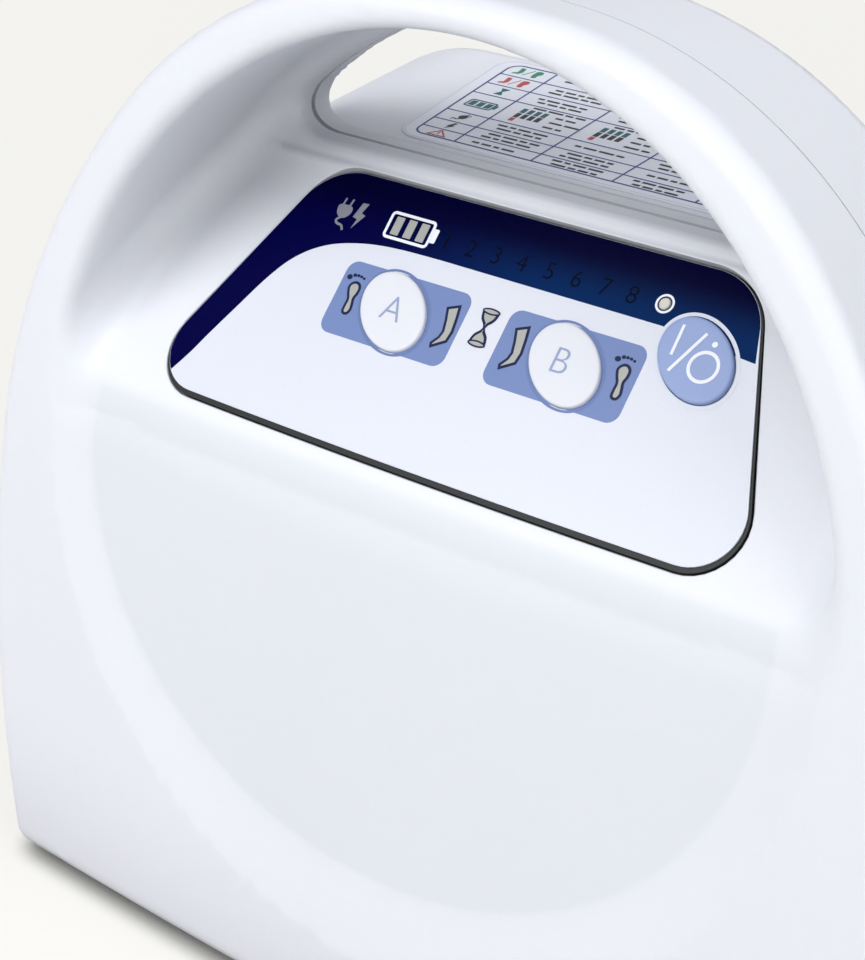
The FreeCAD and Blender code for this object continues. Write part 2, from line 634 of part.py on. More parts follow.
def port_block():
    """Moulded insert with the two tubing sockets, held behind the rear wall by its flange."""
    x0, x1, z0, z1 = PORT_BAY
    back_y = PORT_FLOOR_Y - PORT_WALL
    block = wall_plate(rect(x0, x1, z0, z1, 3.0), back_y, BACK_Y - 0.4)
    flange = wall_plate(rect(x0 - 3, x1 + 3, z0 - 3, z1 + 3), BACK_Y - WALL - 2, BACK_Y - WALL)
    cuts = [wall_plate(socket_outline(side), PORT_FLOOR_Y, BACK_Y + 5) for side in (0, 1)]
    cuts += [nipple_foot(x, z, back_y - 1, PORT_FLOOR_Y + 1) for x, z in nipple_spots()]
    return block.fuse(flange).cut(cuts)


def air_nipples():
    """Six air nipples with a through bore, three in each socket."""
    nipples = []
    for x, z in nipple_spots():
        foot = nipple_foot(x, z, MANIFOLD_Y[1], PORT_FLOOR_Y)
        stalk = foot.fuse(rod(V(x, PORT_FLOOR_Y, z), V(x, NIPPLE_TIP_Y, z), NIPPLE_R))
        bore = rod(V(x, MANIFOLD_Y[1] - 1, z), V(x, NIPPLE_TIP_Y + 1, z), NIPPLE_BORE_R)
        nipples.append(stalk.cut(bore))
    return Part.makeCompound(nipples)


def valve_manifold():
    """Air manifold behind the ports, standing on the tray on two legs."""
    x0, x1, _, _ = PORT_BAY
    block = box(x0 + 2, x1 - 2, *MANIFOLD_Y, *MANIFOLD_Z)
    legs = [box(x, x + 6, MANIFOLD_Y[0], TRAY_BACK_Y, TRAY_Z + TRAY_T, MANIFOLD_Z[0] + 1)
            for x in (x0 + 6, x1 - 12)]
    stub = rod(V(x1 - 3, 38, 27), TUBE_POINTS[-1], TUBE_R - 0.7)
    return block.fuse(legs + [stub])


def solenoid_valves():
    """Six solenoid valves on the manifold, one above each nipple: a coil in its yoke."""
    valves = []
    for x, _ in nipple_spots():
        low = MANIFOLD_Z[1]
        coil = box(x - 2.8, x + 2.8, 35.2, 40.8, low, low + 9)
        valves.append(coil.fuse(box(x - 3.8, x + 3.8, 34.5, 41.5, low + 1.5, low + 7.5)))
    return Part.makeCompound(valves)


def pressure_sensor():
    """Pressure sensor on the manifold between the two valve groups."""
    middle = (PORT_BAY[0] + PORT_BAY[1]) / 2
    low = MANIFOLD_Z[1]
    body = box(middle - 2.3, middle + 2.3, 34.5, 41.5, low, low + 5)
    return body.fuse(box(middle - 1.2, middle + 1.2, 36.8, 39.2, low + 4, low + 9))


def mains_inlet():
    """Mains inlet: flanged socket with chamfered upper corners, open to the back."""
    half, high, depth = INLET_SOCKET
    shell = wall_plate(inlet_outline(2.0, 0), BACK_Y - depth - 3, BACK_Y)
    flange = wall_plate(inlet_outline(4.0, 3.0), BACK_Y - 1.5, BACK_Y)
    x, z = INLET_X, INLET_Z
    chamfer = 4.5
    outline = [(x - half, z - high, 0), (x + half, z - high, 0), (x + half, z + high - chamfer, 0),
               (x + half - chamfer, z + high, 0), (x - half + chamfer, z + high, 0),
               (x - half, z + high - chamfer, 0)]
    return shell.fuse(flange).cut(wall_plate(outline, BACK_Y - depth, BACK_Y + 5))


def inlet_blades():
    """Three flat contact blades of the mains inlet."""
    depth = INLET_SOCKET[2]
    blades = []
    for dx, dz in ((-7.0, -2.0), (7.0, -2.0), (0.0, 2.0)):
        x, z = INLET_X + dx, INLET_Z + dz
        blade = box(x - 1, x + 1, BACK_Y - depth, BACK_Y - 2.5, z - 2, z + 2)
        blades.append(blade.makeChamfer(0.5, edges_where(blade, lambda p, e: p.y > BACK_Y - 2.6)))
    return Part.makeCompound(blades)


# ==== inside ======================================================================================
def chassis_tray():
    """Sheet-steel tray on the floor of the case, with a turned-up front edge and lightening slots."""
    top = TRAY_Z + TRAY_T
    sheet = box(-TRAY_HALF, TRAY_HALF, TRAY_FRONT_Y, TRAY_BACK_Y, TRAY_Z, top)
    lip = box(-60, 60, TRAY_FRONT_Y, TRAY_FRONT_Y + TRAY_T, TRAY_Z, top + 5)
    slots = [box(x - 3, x + 3, -30, -16, 0, 12) for x in (-40, -20, 20, 40)]
    return sheet.fuse(lip).cut(slots)


def main_board():
    """Main circuit board, upright on four posts behind the hook bay."""
    front, back = BOARD_Y
    board = box(-62, 62, front, back, 66, 127)
    chips = [box(-20, 4, front - 2.5, front, 84, 108), box(14, 30, front - 2, front, 90, 100),
             box(-54, -34, front - 9, front, 100, 118), box(36, 50, front - 7, front, 74, 88)]
    can = rod(V(-36, front - 14, 78), V(-36, front, 78), 5)
    return board.fuse(chips + [can])


def ribbon_cable():
    """Flat cable from the control board's connector back to the main board, folded twice."""
    plug = [on_panel(Part.Vertex(0, y, BOARD_TOP - 4.6)).Point for y in (8.4, 7.5)]
    down = [on_panel(Part.Vertex(0, y, BOARD_TOP - 10.6)).Point for y in (8.2, 7.1)]
    goal = [V(0, BOARD_Y[0], z) for z in (113.4, 112.5)]
    bend = [V(0, 12, z) for z in (113.4, 112.5)]
    upper, lower = [[line[i] for line in (plug, down, bend, goal)] for i in (0, 1)]
    face = Part.Face(Part.makePolygon(upper + lower[::-1] + [upper[0]]))
    face.translate(V(-9, 0, 0))
    return face.extrude(V(18, 0, 0))


def power_supply():
    """Open mains supply: board on posts with a transformer, a capacitor and a finned heat sink."""
    low = TRAY_Z + TRAY_T
    board = box(-74, -8, -42, -17, low + 3, low + 4.6)
    posts = [box(x - 2, x + 2, y - 2, y + 2, low, low + 4) for x in (-70, -12) for y in (-38, -21)]
    core = box(-70, -46, -39, -20, low + 4, low + 24).fuse(box(-66, -50, -41, -18, low + 8, low + 20))
    can = rod(V(-32, -24, low + 4), V(-32, -24, low + 26), 5)
    fins = [box(-40, -12, y, y + 1.2, low + 4, low + 20) for y in (-40, -37, -34)]
    base = box(-40, -12, -40, -32.8, low + 4, low + 6)
    return board.fuse(posts + [core, base, can] + fins)


def battery_pack():
    """Six rechargeable cells in a shrink-wrapped block with rounded edges."""
    radius, pitch = 11.4, 23.0
    low = TRAY_Z + TRAY_T
    left = -62.4 - radius
    high = low + 2 * radius + pitch
    return wall_plate(rect(left, left + 2 * (pitch + radius), low, high, radius), -13, 29)


def compressor_mounts():
    """Four rubber isolators between the tray and the compressor."""
    spots = [(x, y) for x in (6, 64) for y in (-30, 14)]
    low = TRAY_Z + TRAY_T
    return Part.makeCompound([rod(V(x, y, low), V(x, y, COMPRESSOR_Z), 4.5) for x, y in spots])


def motor_axis(x):
    """Point on the compressor motor's axis."""
    return V(x, -8, COMPRESSOR_Z + 2 + MOTOR_R + 2)


def compressor_frame():
    """Base plate of the compressor with two saddles for the motor."""
    plate = box(0, 70, -36, 20, COMPRESSOR_Z, COMPRESSOR_Z + 2)
    saddles = [box(x, x + 5, -24, 8, COMPRESSOR_Z + 1, COMPRESSOR_Z + 14) for x in (8, 34)]
    return plate.fuse(saddles).cut(rod(motor_axis(0), motor_axis(60), MOTOR_R))


def compressor_motor():
    """Round motor with a bevelled end cap."""
    can = rod(motor_axis(4), motor_axis(COMPRESSOR_HEAD_X), MOTOR_R)
    return can.makeChamfer(2.0, edges_where(can, lambda p, e: abs(p.x - 4) < 0.1 and e.Closed))


def compressor_head():
    """Crank housing with two opposed diaphragm heads and their air outlet."""
    x0, x1 = COMPRESSOR_HEAD_X, 66
    low = COMPRESSOR_Z + 2
    housing = box(x0, x1, -26, 10, low, low + 44)
    upper = edges_where(housing, lambda p, e: p.z > low + 43 and abs(p.y + 8) > 17)
    housing = housing.makeFillet(3, upper)
    centre = V((x0 + x1) / 2, -8, low + 23)
    heads = [rod(centre + V(0, side * 17, 0), centre + V(0, side * 25, 0), 10.5) for side in (-1, 1)]
    outlet = rod(V(centre.x - 8, TUBE_POINTS[0].y, TUBE_POINTS[0].z), TUBE_POINTS[0], TUBE_R - 0.7)
    return housing.fuse(heads + [outlet])


def air_tube():
    """Air line from the compressor's outlet to the end of the manifold, with mitred elbows."""
    start = TUBE_POINTS[0]
    circle = Part.Wire(Part.Circle(start, TUBE_POINTS[1] - start, TUBE_R).toShape())
    return Part.makePolygon(TUBE_POINTS).makePipeShell([circle], True, False, 1)


# ==== fixings and trim ============================================================================
def case_screws():
    """Four screws at the bottom of the rear wells."""
    screws = []
    for x, z in SCREW_SPOTS:
        head = rod(V(x, SCREW_HEAD_Y, z), V(x, SCREW_HEAD_Y + 2.2, z), 3.1)
        screws.append(head.fuse(rod(V(x, screw_tip_y(z), z), V(x, SCREW_HEAD_Y, z), SCREW_R)))
    return Part.makeCompound(screws)


def rubber_feet():
    """Four rubber feet bonded to the base."""
    return Part.makeCompound([rod(V(x, y, 0), V(x, y, CASE_BASE_Z), FOOT_R) for x, y in FEET])


def chart_label():
    """Thin printed sheet on the rear deck."""
    x0, x1, y0, y1 = DECK_LABEL
    sheet = flat_plate(rect(x0, x1, y0 - ARCH_BACK_Y, y1 - ARCH_BACK_Y, 5), 0, 0.25)
    turn = FreeCAD.Rotation(V(1, 0, 0), DECK_SLOPE)
    sheet.Placement = FreeCAD.Placement(V(0, ARCH_BACK_Y, DECK_Z), turn)
    return sheet


# ==== the whole pump ==============================================================================
NODES = {
    "front_case": front_case, "rear_case": rear_case, "panel_plate": panel_plate,
    "panel_overlay": panel_overlay, "status_lens": status_lens, "control_board": control_board,
    "key_switches": key_switches, "buzzer": buzzer, "bed_hook": bed_hook, "hook_pads": hook_pads,
    "hook_pin": hook_pin, "hook_spring": hook_spring, "port_block": port_block,
    "air_nipples": air_nipples, "valve_manifold": valve_manifold, "solenoid_valves": solenoid_valves,
    "pressure_sensor": pressure_sensor, "mains_inlet": mains_inlet, "inlet_blades": inlet_blades,
    "chassis_tray": chassis_tray, "main_board": main_board, "ribbon_cable": ribbon_cable,
    "power_supply": power_supply, "battery_pack": battery_pack, "compressor_mounts": compressor_mounts,
    "compressor_frame": compressor_frame, "compressor_motor": compressor_motor,
    "compressor_head": compressor_head, "air_tube": air_tube, "case_screws": case_screws,
    "rubber_feet": rubber_feet, "chart_label": chart_label,
}

os.makedirs("parts", exist_ok=True)
for node, make in NODES.items():
    make().exportStep(f"parts/{node}.step")
for name in KEYS:
    key(name).exportStep(f"parts/{name}.step")
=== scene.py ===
"""Compression therapy pump: a carry-handled white case with a tilted key panel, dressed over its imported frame.

Everything is in metres, +Z up, with the front facing -Y. Sizes in the classes are in millimetres, as on a drawing,
and MM turns them to metres. A print or a part on the tilted panel is drawn in the panel's own plane, x to the right
and y up the slope, and placed by PANEL_PLACE. On WALL_PLACE x is to the right and y up, and the third direction is
towards the front. Flat outlines are drawn as lines and become meshes. Solids start as a primitive whose points are
moved to their outline, and are extruded, spun, bevelled and cut. Only the soft skin of the case comes from a field of
distances, because no row of bevels gives edges that run out into each other as they do on such a moulding.
"""

import logging
import math
from dataclasses import dataclass, field
from enum import Enum

import bmesh
import bpy
import numpy as np
import openvdb
from mathutils import Matrix, Vector


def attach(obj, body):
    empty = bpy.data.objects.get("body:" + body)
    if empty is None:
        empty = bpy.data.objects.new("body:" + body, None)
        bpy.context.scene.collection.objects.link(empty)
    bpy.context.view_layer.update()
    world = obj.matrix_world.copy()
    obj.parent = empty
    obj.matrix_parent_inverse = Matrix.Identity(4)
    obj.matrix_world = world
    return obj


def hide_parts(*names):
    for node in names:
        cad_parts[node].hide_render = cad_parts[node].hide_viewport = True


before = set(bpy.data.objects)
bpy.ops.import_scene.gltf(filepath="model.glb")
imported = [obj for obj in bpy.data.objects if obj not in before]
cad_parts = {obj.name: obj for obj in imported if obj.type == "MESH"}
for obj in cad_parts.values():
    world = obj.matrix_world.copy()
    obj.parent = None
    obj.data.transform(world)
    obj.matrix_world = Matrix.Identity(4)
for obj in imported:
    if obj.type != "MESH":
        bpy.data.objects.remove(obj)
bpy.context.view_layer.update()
LOG = logging.getLogger("pump")

Point = tuple[float, float]                      # a place on a plane, or a pair of sizes
Spot = tuple[float, float, float]                # a place in space, or three sizes
Box = tuple[float, float, float, float, float]   # x and y of two corners, and a radius
Loop = list[Point]                               # an outline, or a line
Field = np.ndarray

MM = 0.001
SCALE_PLACE = Matrix.Scale(MM, 4)
PANEL_TILT = math.radians(46.133)
PANEL_MIDDLE = (0.0, -20.0, 127.1)
PANEL_PLACE = Matrix.Translation(Vector(PANEL_MIDDLE) * MM) @ Matrix.Rotation(PANEL_TILT, 4, "X") @ SCALE_PLACE
DECK_SLOPE = math.radians(5.5)
DECK_EDGE = (0.0, 6.5, 146.2)
DECK_PLACE = (Matrix.Translation(Vector(DECK_EDGE) * MM) @ Matrix.Rotation(DECK_SLOPE, 4, "X") @ SCALE_PLACE
              @ Matrix.Translation((0, -DECK_EDGE[1], 0)))
WALL_PLACE = Matrix.Rotation(math.radians(90), 4, "X") @ SCALE_PLACE

SHEEN_SWING = 0.12      # how far the grain moves the roughness, as a share of it
COAT_ROUGHNESS = 0.12   # roughness of a clear film
RESIN_DEPTH = 2.0       # millimetres that light runs in white resin
MERGE_REACH = 1e-4      # points of a solid or print this near, in its own units, are one point
EDGE_ANGLE = 40.0       # degrees past which an edge is bevelled
CAPITAL_SHARE = 0.72    # height of a capital letter as a share of the type size

SCREW_WELLS = ((79.0, 17.0), (-79.0, 17.0), (72.0, 112.0), (-72.0, 112.0))
# outlines of the film and of the dark plate under it, as x, y and radius of each corner
PANEL_EDGE = [(-45.0, 23.0, 12.0), (45.0, 23.0, 12.0), (64.1, -24.8, 8.5), (0.0, -25.9, 3000.0), (-64.1, -24.8, 8.5)]
PLATE_EDGE = [(-45.1, 23.1, 12.1), (45.3, 23.1, 12.2), (65.0, -25.7, 9.0), (0.0, -26.8, 3000.0), (-64.7, -25.7, 9.0)]


# ---- nodes and colours --------------------------------------------------------------------------------------

def linear(colour: str) -> tuple[float, float, float, float]:
    """Turn an sRGB hex colour to Blender's linear RGBA.

    Args:
        colour: The colour as "#rrggbb".

    Returns:
        The linear colour with full alpha.
    """
    values = [int(colour[i:i + 2], 16) / 255 for i in (1, 3, 5)]
    red, green, blue = (v / 12.92 if v <= 0.04045 else ((v + 0.055) / 1.055) ** 2.4 for v in values)
    return red, green, blue, 1.0


def add_node(tree: bpy.types.NodeTree, kind: str, settings: dict | None = None,
             inputs: dict | None = None) -> bpy.types.Node:
    """Add one node with its settings, values and links.

    Args:
        tree: The node tree that gets it.
        kind: The node's type, without the ShaderNode in front.
        settings: Properties of the node, by name.
        inputs: What each input socket gets, by name or number: a value or another node's output.

    Returns:
        The new node.
    """
    node = tree.nodes.new("ShaderNode" + kind)
    for name, value in (settings or {}).items():
        setattr(node, name, value)
    for name, value in (inputs or {}).items():
        if isinstance(value, bpy.types.NodeSocket):
            tree.links.new(value, node.inputs[name])
        else:
            node.inputs[name].default_value = value
    return node


def blank_material(name: str) -> bpy.types.Material:
    """Make a material with an empty node tree.

    Args:
        name: Its name.

    Returns:
        The material.
    """
    material = bpy.data.materials.new(name)
    material.use_nodes = True
    material.node_tree.nodes.clear()
    return material


# ---- finishes -----------------------------------------------------------------------------------------------

@dataclass(frozen=True)
class Finish:
    """A moulded, painted or printed surface, from its colour, its sheen and the texture of its tool.

    Attributes:
        name: The material and the process that made it.
        colour: The sRGB colour.
        roughness: Mean roughness.
        grain: Size in millimetres of the grain left by the tool.
        relief: Height of that grain in millimetres.
        mottle: How far the colour drifts, as a share of its value.
        ior: Index of refraction.
        metallic: 1 for bare metal.
        coat: Weight of a clear film on top.
        soft: Share of light that enters and leaves again, as in white resin.
        drift: Size in millimetres of the slow drift of colour and sheen.
        shine: Strength of the reflection, 0.5 for plain plastic.
    """

    name: str
    colour: str
    roughness: float = 0.45
    grain: float = 0.3
    relief: float = 0.004
    mottle: float = 0.02
    ior: float = 1.52
    metallic: float = 0.0
    coat: float = 0.0
    soft: float = 0.0
    drift: float = 30.0
    shine: float = 0.5

    def make(self) -> bpy.types.Material:
        """Build the material, or return the one built before.

        Returns:
            The material: a slow drift of colour, and a fine grain in both sheen and relief.
        """
        if self.name in bpy.data.materials:
            return bpy.data.materials[self.name]
        material = blank_material(self.name)
        tree = material.node_tree
        place = add_node(tree, "TexCoord").outputs["Object"]
        slow = add_node(tree, "TexNoise", inputs={"Vector": place, "Scale": 1 / (self.drift * MM), "Detail": 3.0})
        fine = add_node(tree, "TexNoise", inputs={"Vector": place, "Scale": 1 / (self.grain * MM), "Detail": 2.0})
        shade = add_node(tree, "MapRange", inputs={
            "Value": slow.outputs["Fac"], "From Min": 0.3, "From Max": 0.7,
            "To Min": 1 - self.mottle, "To Max": 1.0})
        colour = add_node(tree, "MixRGB", {"blend_type": "MULTIPLY"}, {
            "Fac": 1.0, "Color1": linear(self.colour), "Color2": shade.outputs["Result"]})
        sheen = add_node(tree, "MapRange", inputs={
            "Value": fine.outputs["Fac"], "From Min": 0.25, "From Max": 0.75,
            "To Min": self.roughness * (1 - SHEEN_SWING), "To Max": self.roughness * (1 + SHEEN_SWING)})
        bump = add_node(tree, "Bump", inputs={
            "Height": fine.outputs["Fac"], "Strength": 1.0, "Distance": self.relief * MM})
        shader = add_node(tree, "BsdfPrincipled", inputs={
            "Base Color": colour.outputs["Color"], "Roughness": sheen.outputs["Result"],
            "Normal": bump.outputs["Normal"], "Metallic": self.metallic, "IOR": self.ior,
            "Coat Weight": self.coat, "Coat Roughness": COAT_ROUGHNESS, "Specular IOR Level": self.shine,
            "Subsurface Weight": self.soft, "Subsurface Scale": RESIN_DEPTH * MM})
        add_node(tree, "OutputMaterial", inputs={"Surface": shader.outputs["BSDF"]})
        return material


@dataclass(frozen=True)
class CaseFinish(Finish):
    """The case's plastic, with painted shade: darker and greener on the recess floor, and darker in hollows.

    Attributes:
        floor: The sRGB colour of the recess floor, darker than the case as painted shade.
        centre: Height of the floor's middle in millimetres.
        half: Half axes of the floor.
        front: Y that the floor lies in front of.
        top: Height at which the floor ends under the shelf's lip.
        lip: How far the colours run into each other there.
        hollow: Reach of the painted shade in hollows in millimetres.
        depth: What is left of the colour under the painted shade in the deepest hollow.
    """

    # the recess floor's colour is painted shade, darker than the case round it
    floor: str = "#e4e8ee"
    centre: float = 98.0
    half: tuple[float, float] = (73.3, 64.3)
    front: float = -36.0
    top: float = 105.0
    lip: float = 1.6
    hollow: float = 55.0
    depth: float = 0.64

    def make(self) -> bpy.types.Material:
        """Build the material, or return the one built before.

        Returns:
            The material of a moulding, with the painted shade of the darker oval and of the hollows on top of its
            colour.
        """
        if self.name in bpy.data.materials:
            return bpy.data.materials[self.name]
        material = Finish.make(self)
        tree = material.node_tree
        place = next(n for n in tree.nodes if n.type == "TEX_COORD").outputs["Object"]
        half, high = (size * MM for size in self.half)
        local = add_node(tree, "Mapping", {"vector_type": "POINT"}, {
            "Vector": place, "Location": (0, 0, -self.centre * MM / high), "Scale": (1 / half, 0, 1 / high)})
        reach = add_node(tree, "VectorMath", {"operation": "LENGTH"}, {0: local.outputs["Vector"]})
        in_oval = add_node(tree, "MapRange", {"interpolation_type": "SMOOTHSTEP"}, {
            "Value": reach.outputs["Value"], "From Min": 0.975, "From Max": 1.0, "To Min": 1.0, "To Max": 0.0})
        parts = add_node(tree, "SeparateXYZ", inputs={0: place})
        ahead = add_node(tree, "Math", {"operation": "LESS_THAN"}, {0: parts.outputs["Y"], 1: self.front * MM})
        below = add_node(tree, "MapRange", {"interpolation_type": "SMOOTHSTEP"}, {
            "Value": parts.outputs["Z"], "From Min": self.top * MM, "From Max": (self.top + self.lip) * MM,
            "To Min": 1.0, "To Max": 0.0})
        share = add_node(tree, "Math", {"operation": "MULTIPLY"}, {
            0: in_oval.outputs["Result"], 1: ahead.outputs[0]})
        share = add_node(tree, "Math", {"operation": "MULTIPLY"}, {0: share.outputs[0], 1: below.outputs["Result"]})
        # painted shade: the recess floor gets a darker colour of its own
        blend = add_node(tree, "MixRGB", inputs={
            "Fac": share.outputs[0], "Color1": linear(self.colour), "Color2": linear(self.floor)})
        # painted shade: the colour is darkened where an occlusion test finds hollows
        near = add_node(tree, "AmbientOcclusion", {"samples": 6}, {"Distance": self.hollow * MM})
        painted_shade_share = add_node(tree, "MapRange", inputs={
            "Value": near.outputs["AO"], "From Min": 0.25, "From Max": 0.8, "To Min": self.depth, "To Max": 1.0})
        with_painted_shade = add_node(tree, "MixRGB", {"blend_type": "MULTIPLY"}, {
            "Fac": 1.0, "Color1": blend.outputs["Color"], "Color2": painted_shade_share.outputs["Result"]})
        tint = next(n for n in tree.nodes if n.type == "MIX_RGB" and n.blend_type == "MULTIPLY" and n != with_painted_shade)
        tree.links.new(with_painted_shade.outputs["Color"], tint.inputs["Color1"])
        return material


# white ABS moulded in a spark-eroded tool: a cool white with a very fine, even matt grain
# its finish adds painted shade in hollows and on the recess floor
CASE_ABS = CaseFinish("white_ABS_spark_eroded", "#eaecf3", roughness=0.46, grain=0.35, relief=0.006, mottle=0.012,
                      soft=0.06, drift=60, shine=0.4)
# dark grey polycarbonate moulding round the film: a dull, nearly black edge
PLATE_PC = Finish("dark_grey_polycarbonate_moulded", "#1f2223", roughness=0.4, grain=0.25, relief=0.004, shine=0.25)
# polyester film printed from behind in white: smooth, with a satin gloss
FILM_WHITE = Finish("white_reverse_printed_polyester_film", "#dde1eb", roughness=0.3, grain=0.5, relief=0.001,
                    mottle=0.005, shine=0.3)
# pale blue ink under the same film
FILM_BLUE = Finish("pale_blue_ink_under_film", "#7287ba", roughness=0.3, grain=0.5, relief=0.001, mottle=0.01,
                   shine=0.2)
# deeper blue line of the same ink round the keys
FILM_BLUE_DEEP = Finish("mid_blue_ink_under_film", "#687dae", roughness=0.3, grain=0.5, relief=0.001, shine=0.2)
# thin line ink in navy
INK_NAVY = Finish("navy_line_ink_under_film", "#0f1c48", roughness=0.32, grain=0.5, relief=0.001, shine=0.12)
# smoked window in the film, unlit: a dull beige grey
WINDOW_GREY = Finish("smoked_window_unlit", "#a6a7a1", roughness=0.35, grain=0.5, relief=0.001)
# key caps moulded in a satin tool: a soft white that lets a little light in
KEY_WHITE = Finish("white_key_cap_moulded", "#e3e5ec", roughness=0.42, grain=0.3, relief=0.002, mottle=0.006,
                   soft=0.1, shine=0.35)
# the same cap in pale blue resin: duller, a little deeper than the blocks
KEY_BLUE = Finish("pale_blue_key_cap_moulded", "#96a9d6", roughness=0.42, grain=0.3, relief=0.002, mottle=0.01,
                  shine=0.3)
# thin grey-blue pad print on a white cap: flat, hardly darker than the cap
KEY_INK = Finish("grey_blue_pad_print", "#8f9cc4", roughness=0.4, grain=0.4, relief=0.001)
# thick white pad print: brighter and flatter than what it lies on
WHITE_INK = Finish("white_pad_print", "#f2f5fc", roughness=0.4, grain=0.4, relief=0.001)
# acrylic light pipe, unlit: warm grey
LENS_ACRYLIC = Finish("acrylic_light_pipe_moulded", "#bdb9ae", roughness=0.2, grain=0.5, relief=0.001, coat=0.4)
# digits printed in smoke on navy: they only show when lit
SMOKE_INK = Finish("smoked_digit_window_unlit", "#03081c", roughness=0.32, grain=0.5, relief=0.001, shine=0.02)
# label stock: white polyester with a satin laminate
LABEL_FILM = Finish("white_polyester_label_laminated", "#eceff8", roughness=0.32, grain=0.6, relief=0.001,
                    mottle=0.006)
# lines of the chart, in an even mid blue
LABEL_BLUE = Finish("blue_label_ink", "#2c3d88", roughness=0.35, grain=0.4, relief=0.001)
# small print of the chart, a soft black
LABEL_DARK = Finish("dark_grey_label_ink", "#2b2f38", roughness=0.35, grain=0.4, relief=0.001)
# pale grey cutting line at the edge of the label
LABEL_EDGE = Finish("pale_grey_label_line", "#c3c9d6", roughness=0.35, grain=0.4, relief=0.001)
# coloured signs and bars of the chart, dull as screen print is
LABEL_TEAL = Finish("teal_label_ink", "#27666f", roughness=0.35, grain=0.4, relief=0.001)
LABEL_RED = Finish("red_label_ink", "#c0504d", roughness=0.35, grain=0.4, relief=0.001)
LABEL_GREEN = Finish("green_label_ink", "#2f8f6d", roughness=0.35, grain=0.4, relief=0.001)
# plug and lightning signs: smoked windows in the navy, unlit
SIGN_GREY = Finish("smoked_sign_window_unlit", "#80828c", roughness=0.35, grain=0.4, relief=0.001)
# glass-filled nylon hook: light grey, slightly rougher than the case
HOOK_NYLON = Finish("light_grey_glass_filled_nylon", "#d9dce2", roughness=0.52, grain=0.4, relief=0.008)
# port block, moulded in a duller light grey than the case
PORT_ABS = Finish("light_grey_ABS_moulded", "#cfd3d9", roughness=0.44, grain=0.3, relief=0.004)
# mains inlet, switches and coils: black nylon with a low, broad sheen
BLACK_NYLON = Finish("black_nylon_moulded", "#1b1c1e", roughness=0.42, grain=0.3, relief=0.004)
# feet, pads and isolators: matt, nearly black rubber
RUBBER = Finish("black_rubber_moulded", "#202123", roughness=0.7, grain=0.25, relief=0.01)
# nipples and blades: bright nickel with the warmth of the brass under it
PLATED_BRASS = Finish("nickel_plated_brass_turned", "#d8d0b8", roughness=0.24, metallic=1.0, ior=1.5, relief=0.001)
# screws, pin, spring and tray: rolled steel with a clear zinc plating, a soft grey shine
STEEL = Finish("zinc_plated_steel_rolled", "#b9bcc1", roughness=0.34, metallic=1.0, ior=1.5, relief=0.002)
# compressor castings: pale, slightly rough metal
ALUMINIUM = Finish("aluminium_die_cast", "#c6c8cb", roughness=0.42, metallic=1.0, ior=1.5, relief=0.01, grain=0.6)
# boards: glossy green lacquer over the weave
LAMINATE = Finish("green_glass_fibre_laminate", "#1d5b35", roughness=0.3, grain=0.8, relief=0.003, coat=0.3)
# ribbon cable: plain grey, satin
RIBBON_PVC = Finish("grey_PVC_ribbon_extruded", "#9a9ca1", roughness=0.45)
# battery sleeve: tight, glossy blue film
SHRINK_PVC = Finish("blue_PVC_shrink_sleeve", "#27448f", roughness=0.25, coat=0.3)
# air tube: milky, glossy vinyl
CLEAR_VINYL = Finish("clear_vinyl_tube_extruded", "#cdd2cd", roughness=0.2, coat=0.3)


@dataclass(frozen=True)
class BandFinish(Finish):
    """Ink whose colour runs slowly along X and Z, as a printed blend does.

    Attributes:
        end: The sRGB colour at the far right.
        span: X in millimetres where the blend starts and ends.
        top: The sRGB colour along the top.
        rise: Z in millimetres where the blend to the top starts and ends.
    """

    end: str = "#00285c"
    span: tuple[float, float] = (-30.0, 15.0)
    top: str = "#00002c"
    rise: tuple[float, float] = (135.8, 142.2)

    def make(self) -> bpy.types.Material:
        """Build the material.

        Returns:
            The material of a print, with the blend in place of its one colour.
        """
        material = Finish.make(self)
        tree = material.node_tree
        place = next(n for n in tree.nodes if n.type == "TEX_COORD").outputs["Object"]
        along = add_node(tree, "SeparateXYZ", inputs={0: place})
        share = add_node(tree, "MapRange", {"interpolation_type": "SMOOTHSTEP"}, {
            "Value": along.outputs["X"], "From Min": self.span[0] * MM, "From Max": self.span[1] * MM})
        blend = add_node(tree, "MixRGB", inputs={
            "Fac": share.outputs["Result"], "Color1": linear(self.colour), "Color2": linear(self.end)})
        height = add_node(tree, "MapRange", {"interpolation_type": "SMOOTHSTEP"}, {
            "Value": along.outputs["Z"], "From Min": self.rise[0] * MM, "From Max": self.rise[1] * MM})
        whole = add_node(tree, "MixRGB", inputs={
            "Fac": height.outputs["Result"], "Color1": blend.outputs["Color"], "Color2": linear(self.top)})
        tint = next(n for n in tree.nodes if n.type == "MIX_RGB" and n.blend_type == "MULTIPLY")
        tree.links.new(whole.outputs["Color"], tint.inputs["Color1"])
        return material


# navy ink printed from behind, running from a violet navy at the left to a greener one at the right
BAND_INK = BandFinish("navy_blend_ink_under_film", "#00003e", roughness=0.3, grain=0.5, relief=0.001, shine=0.02)

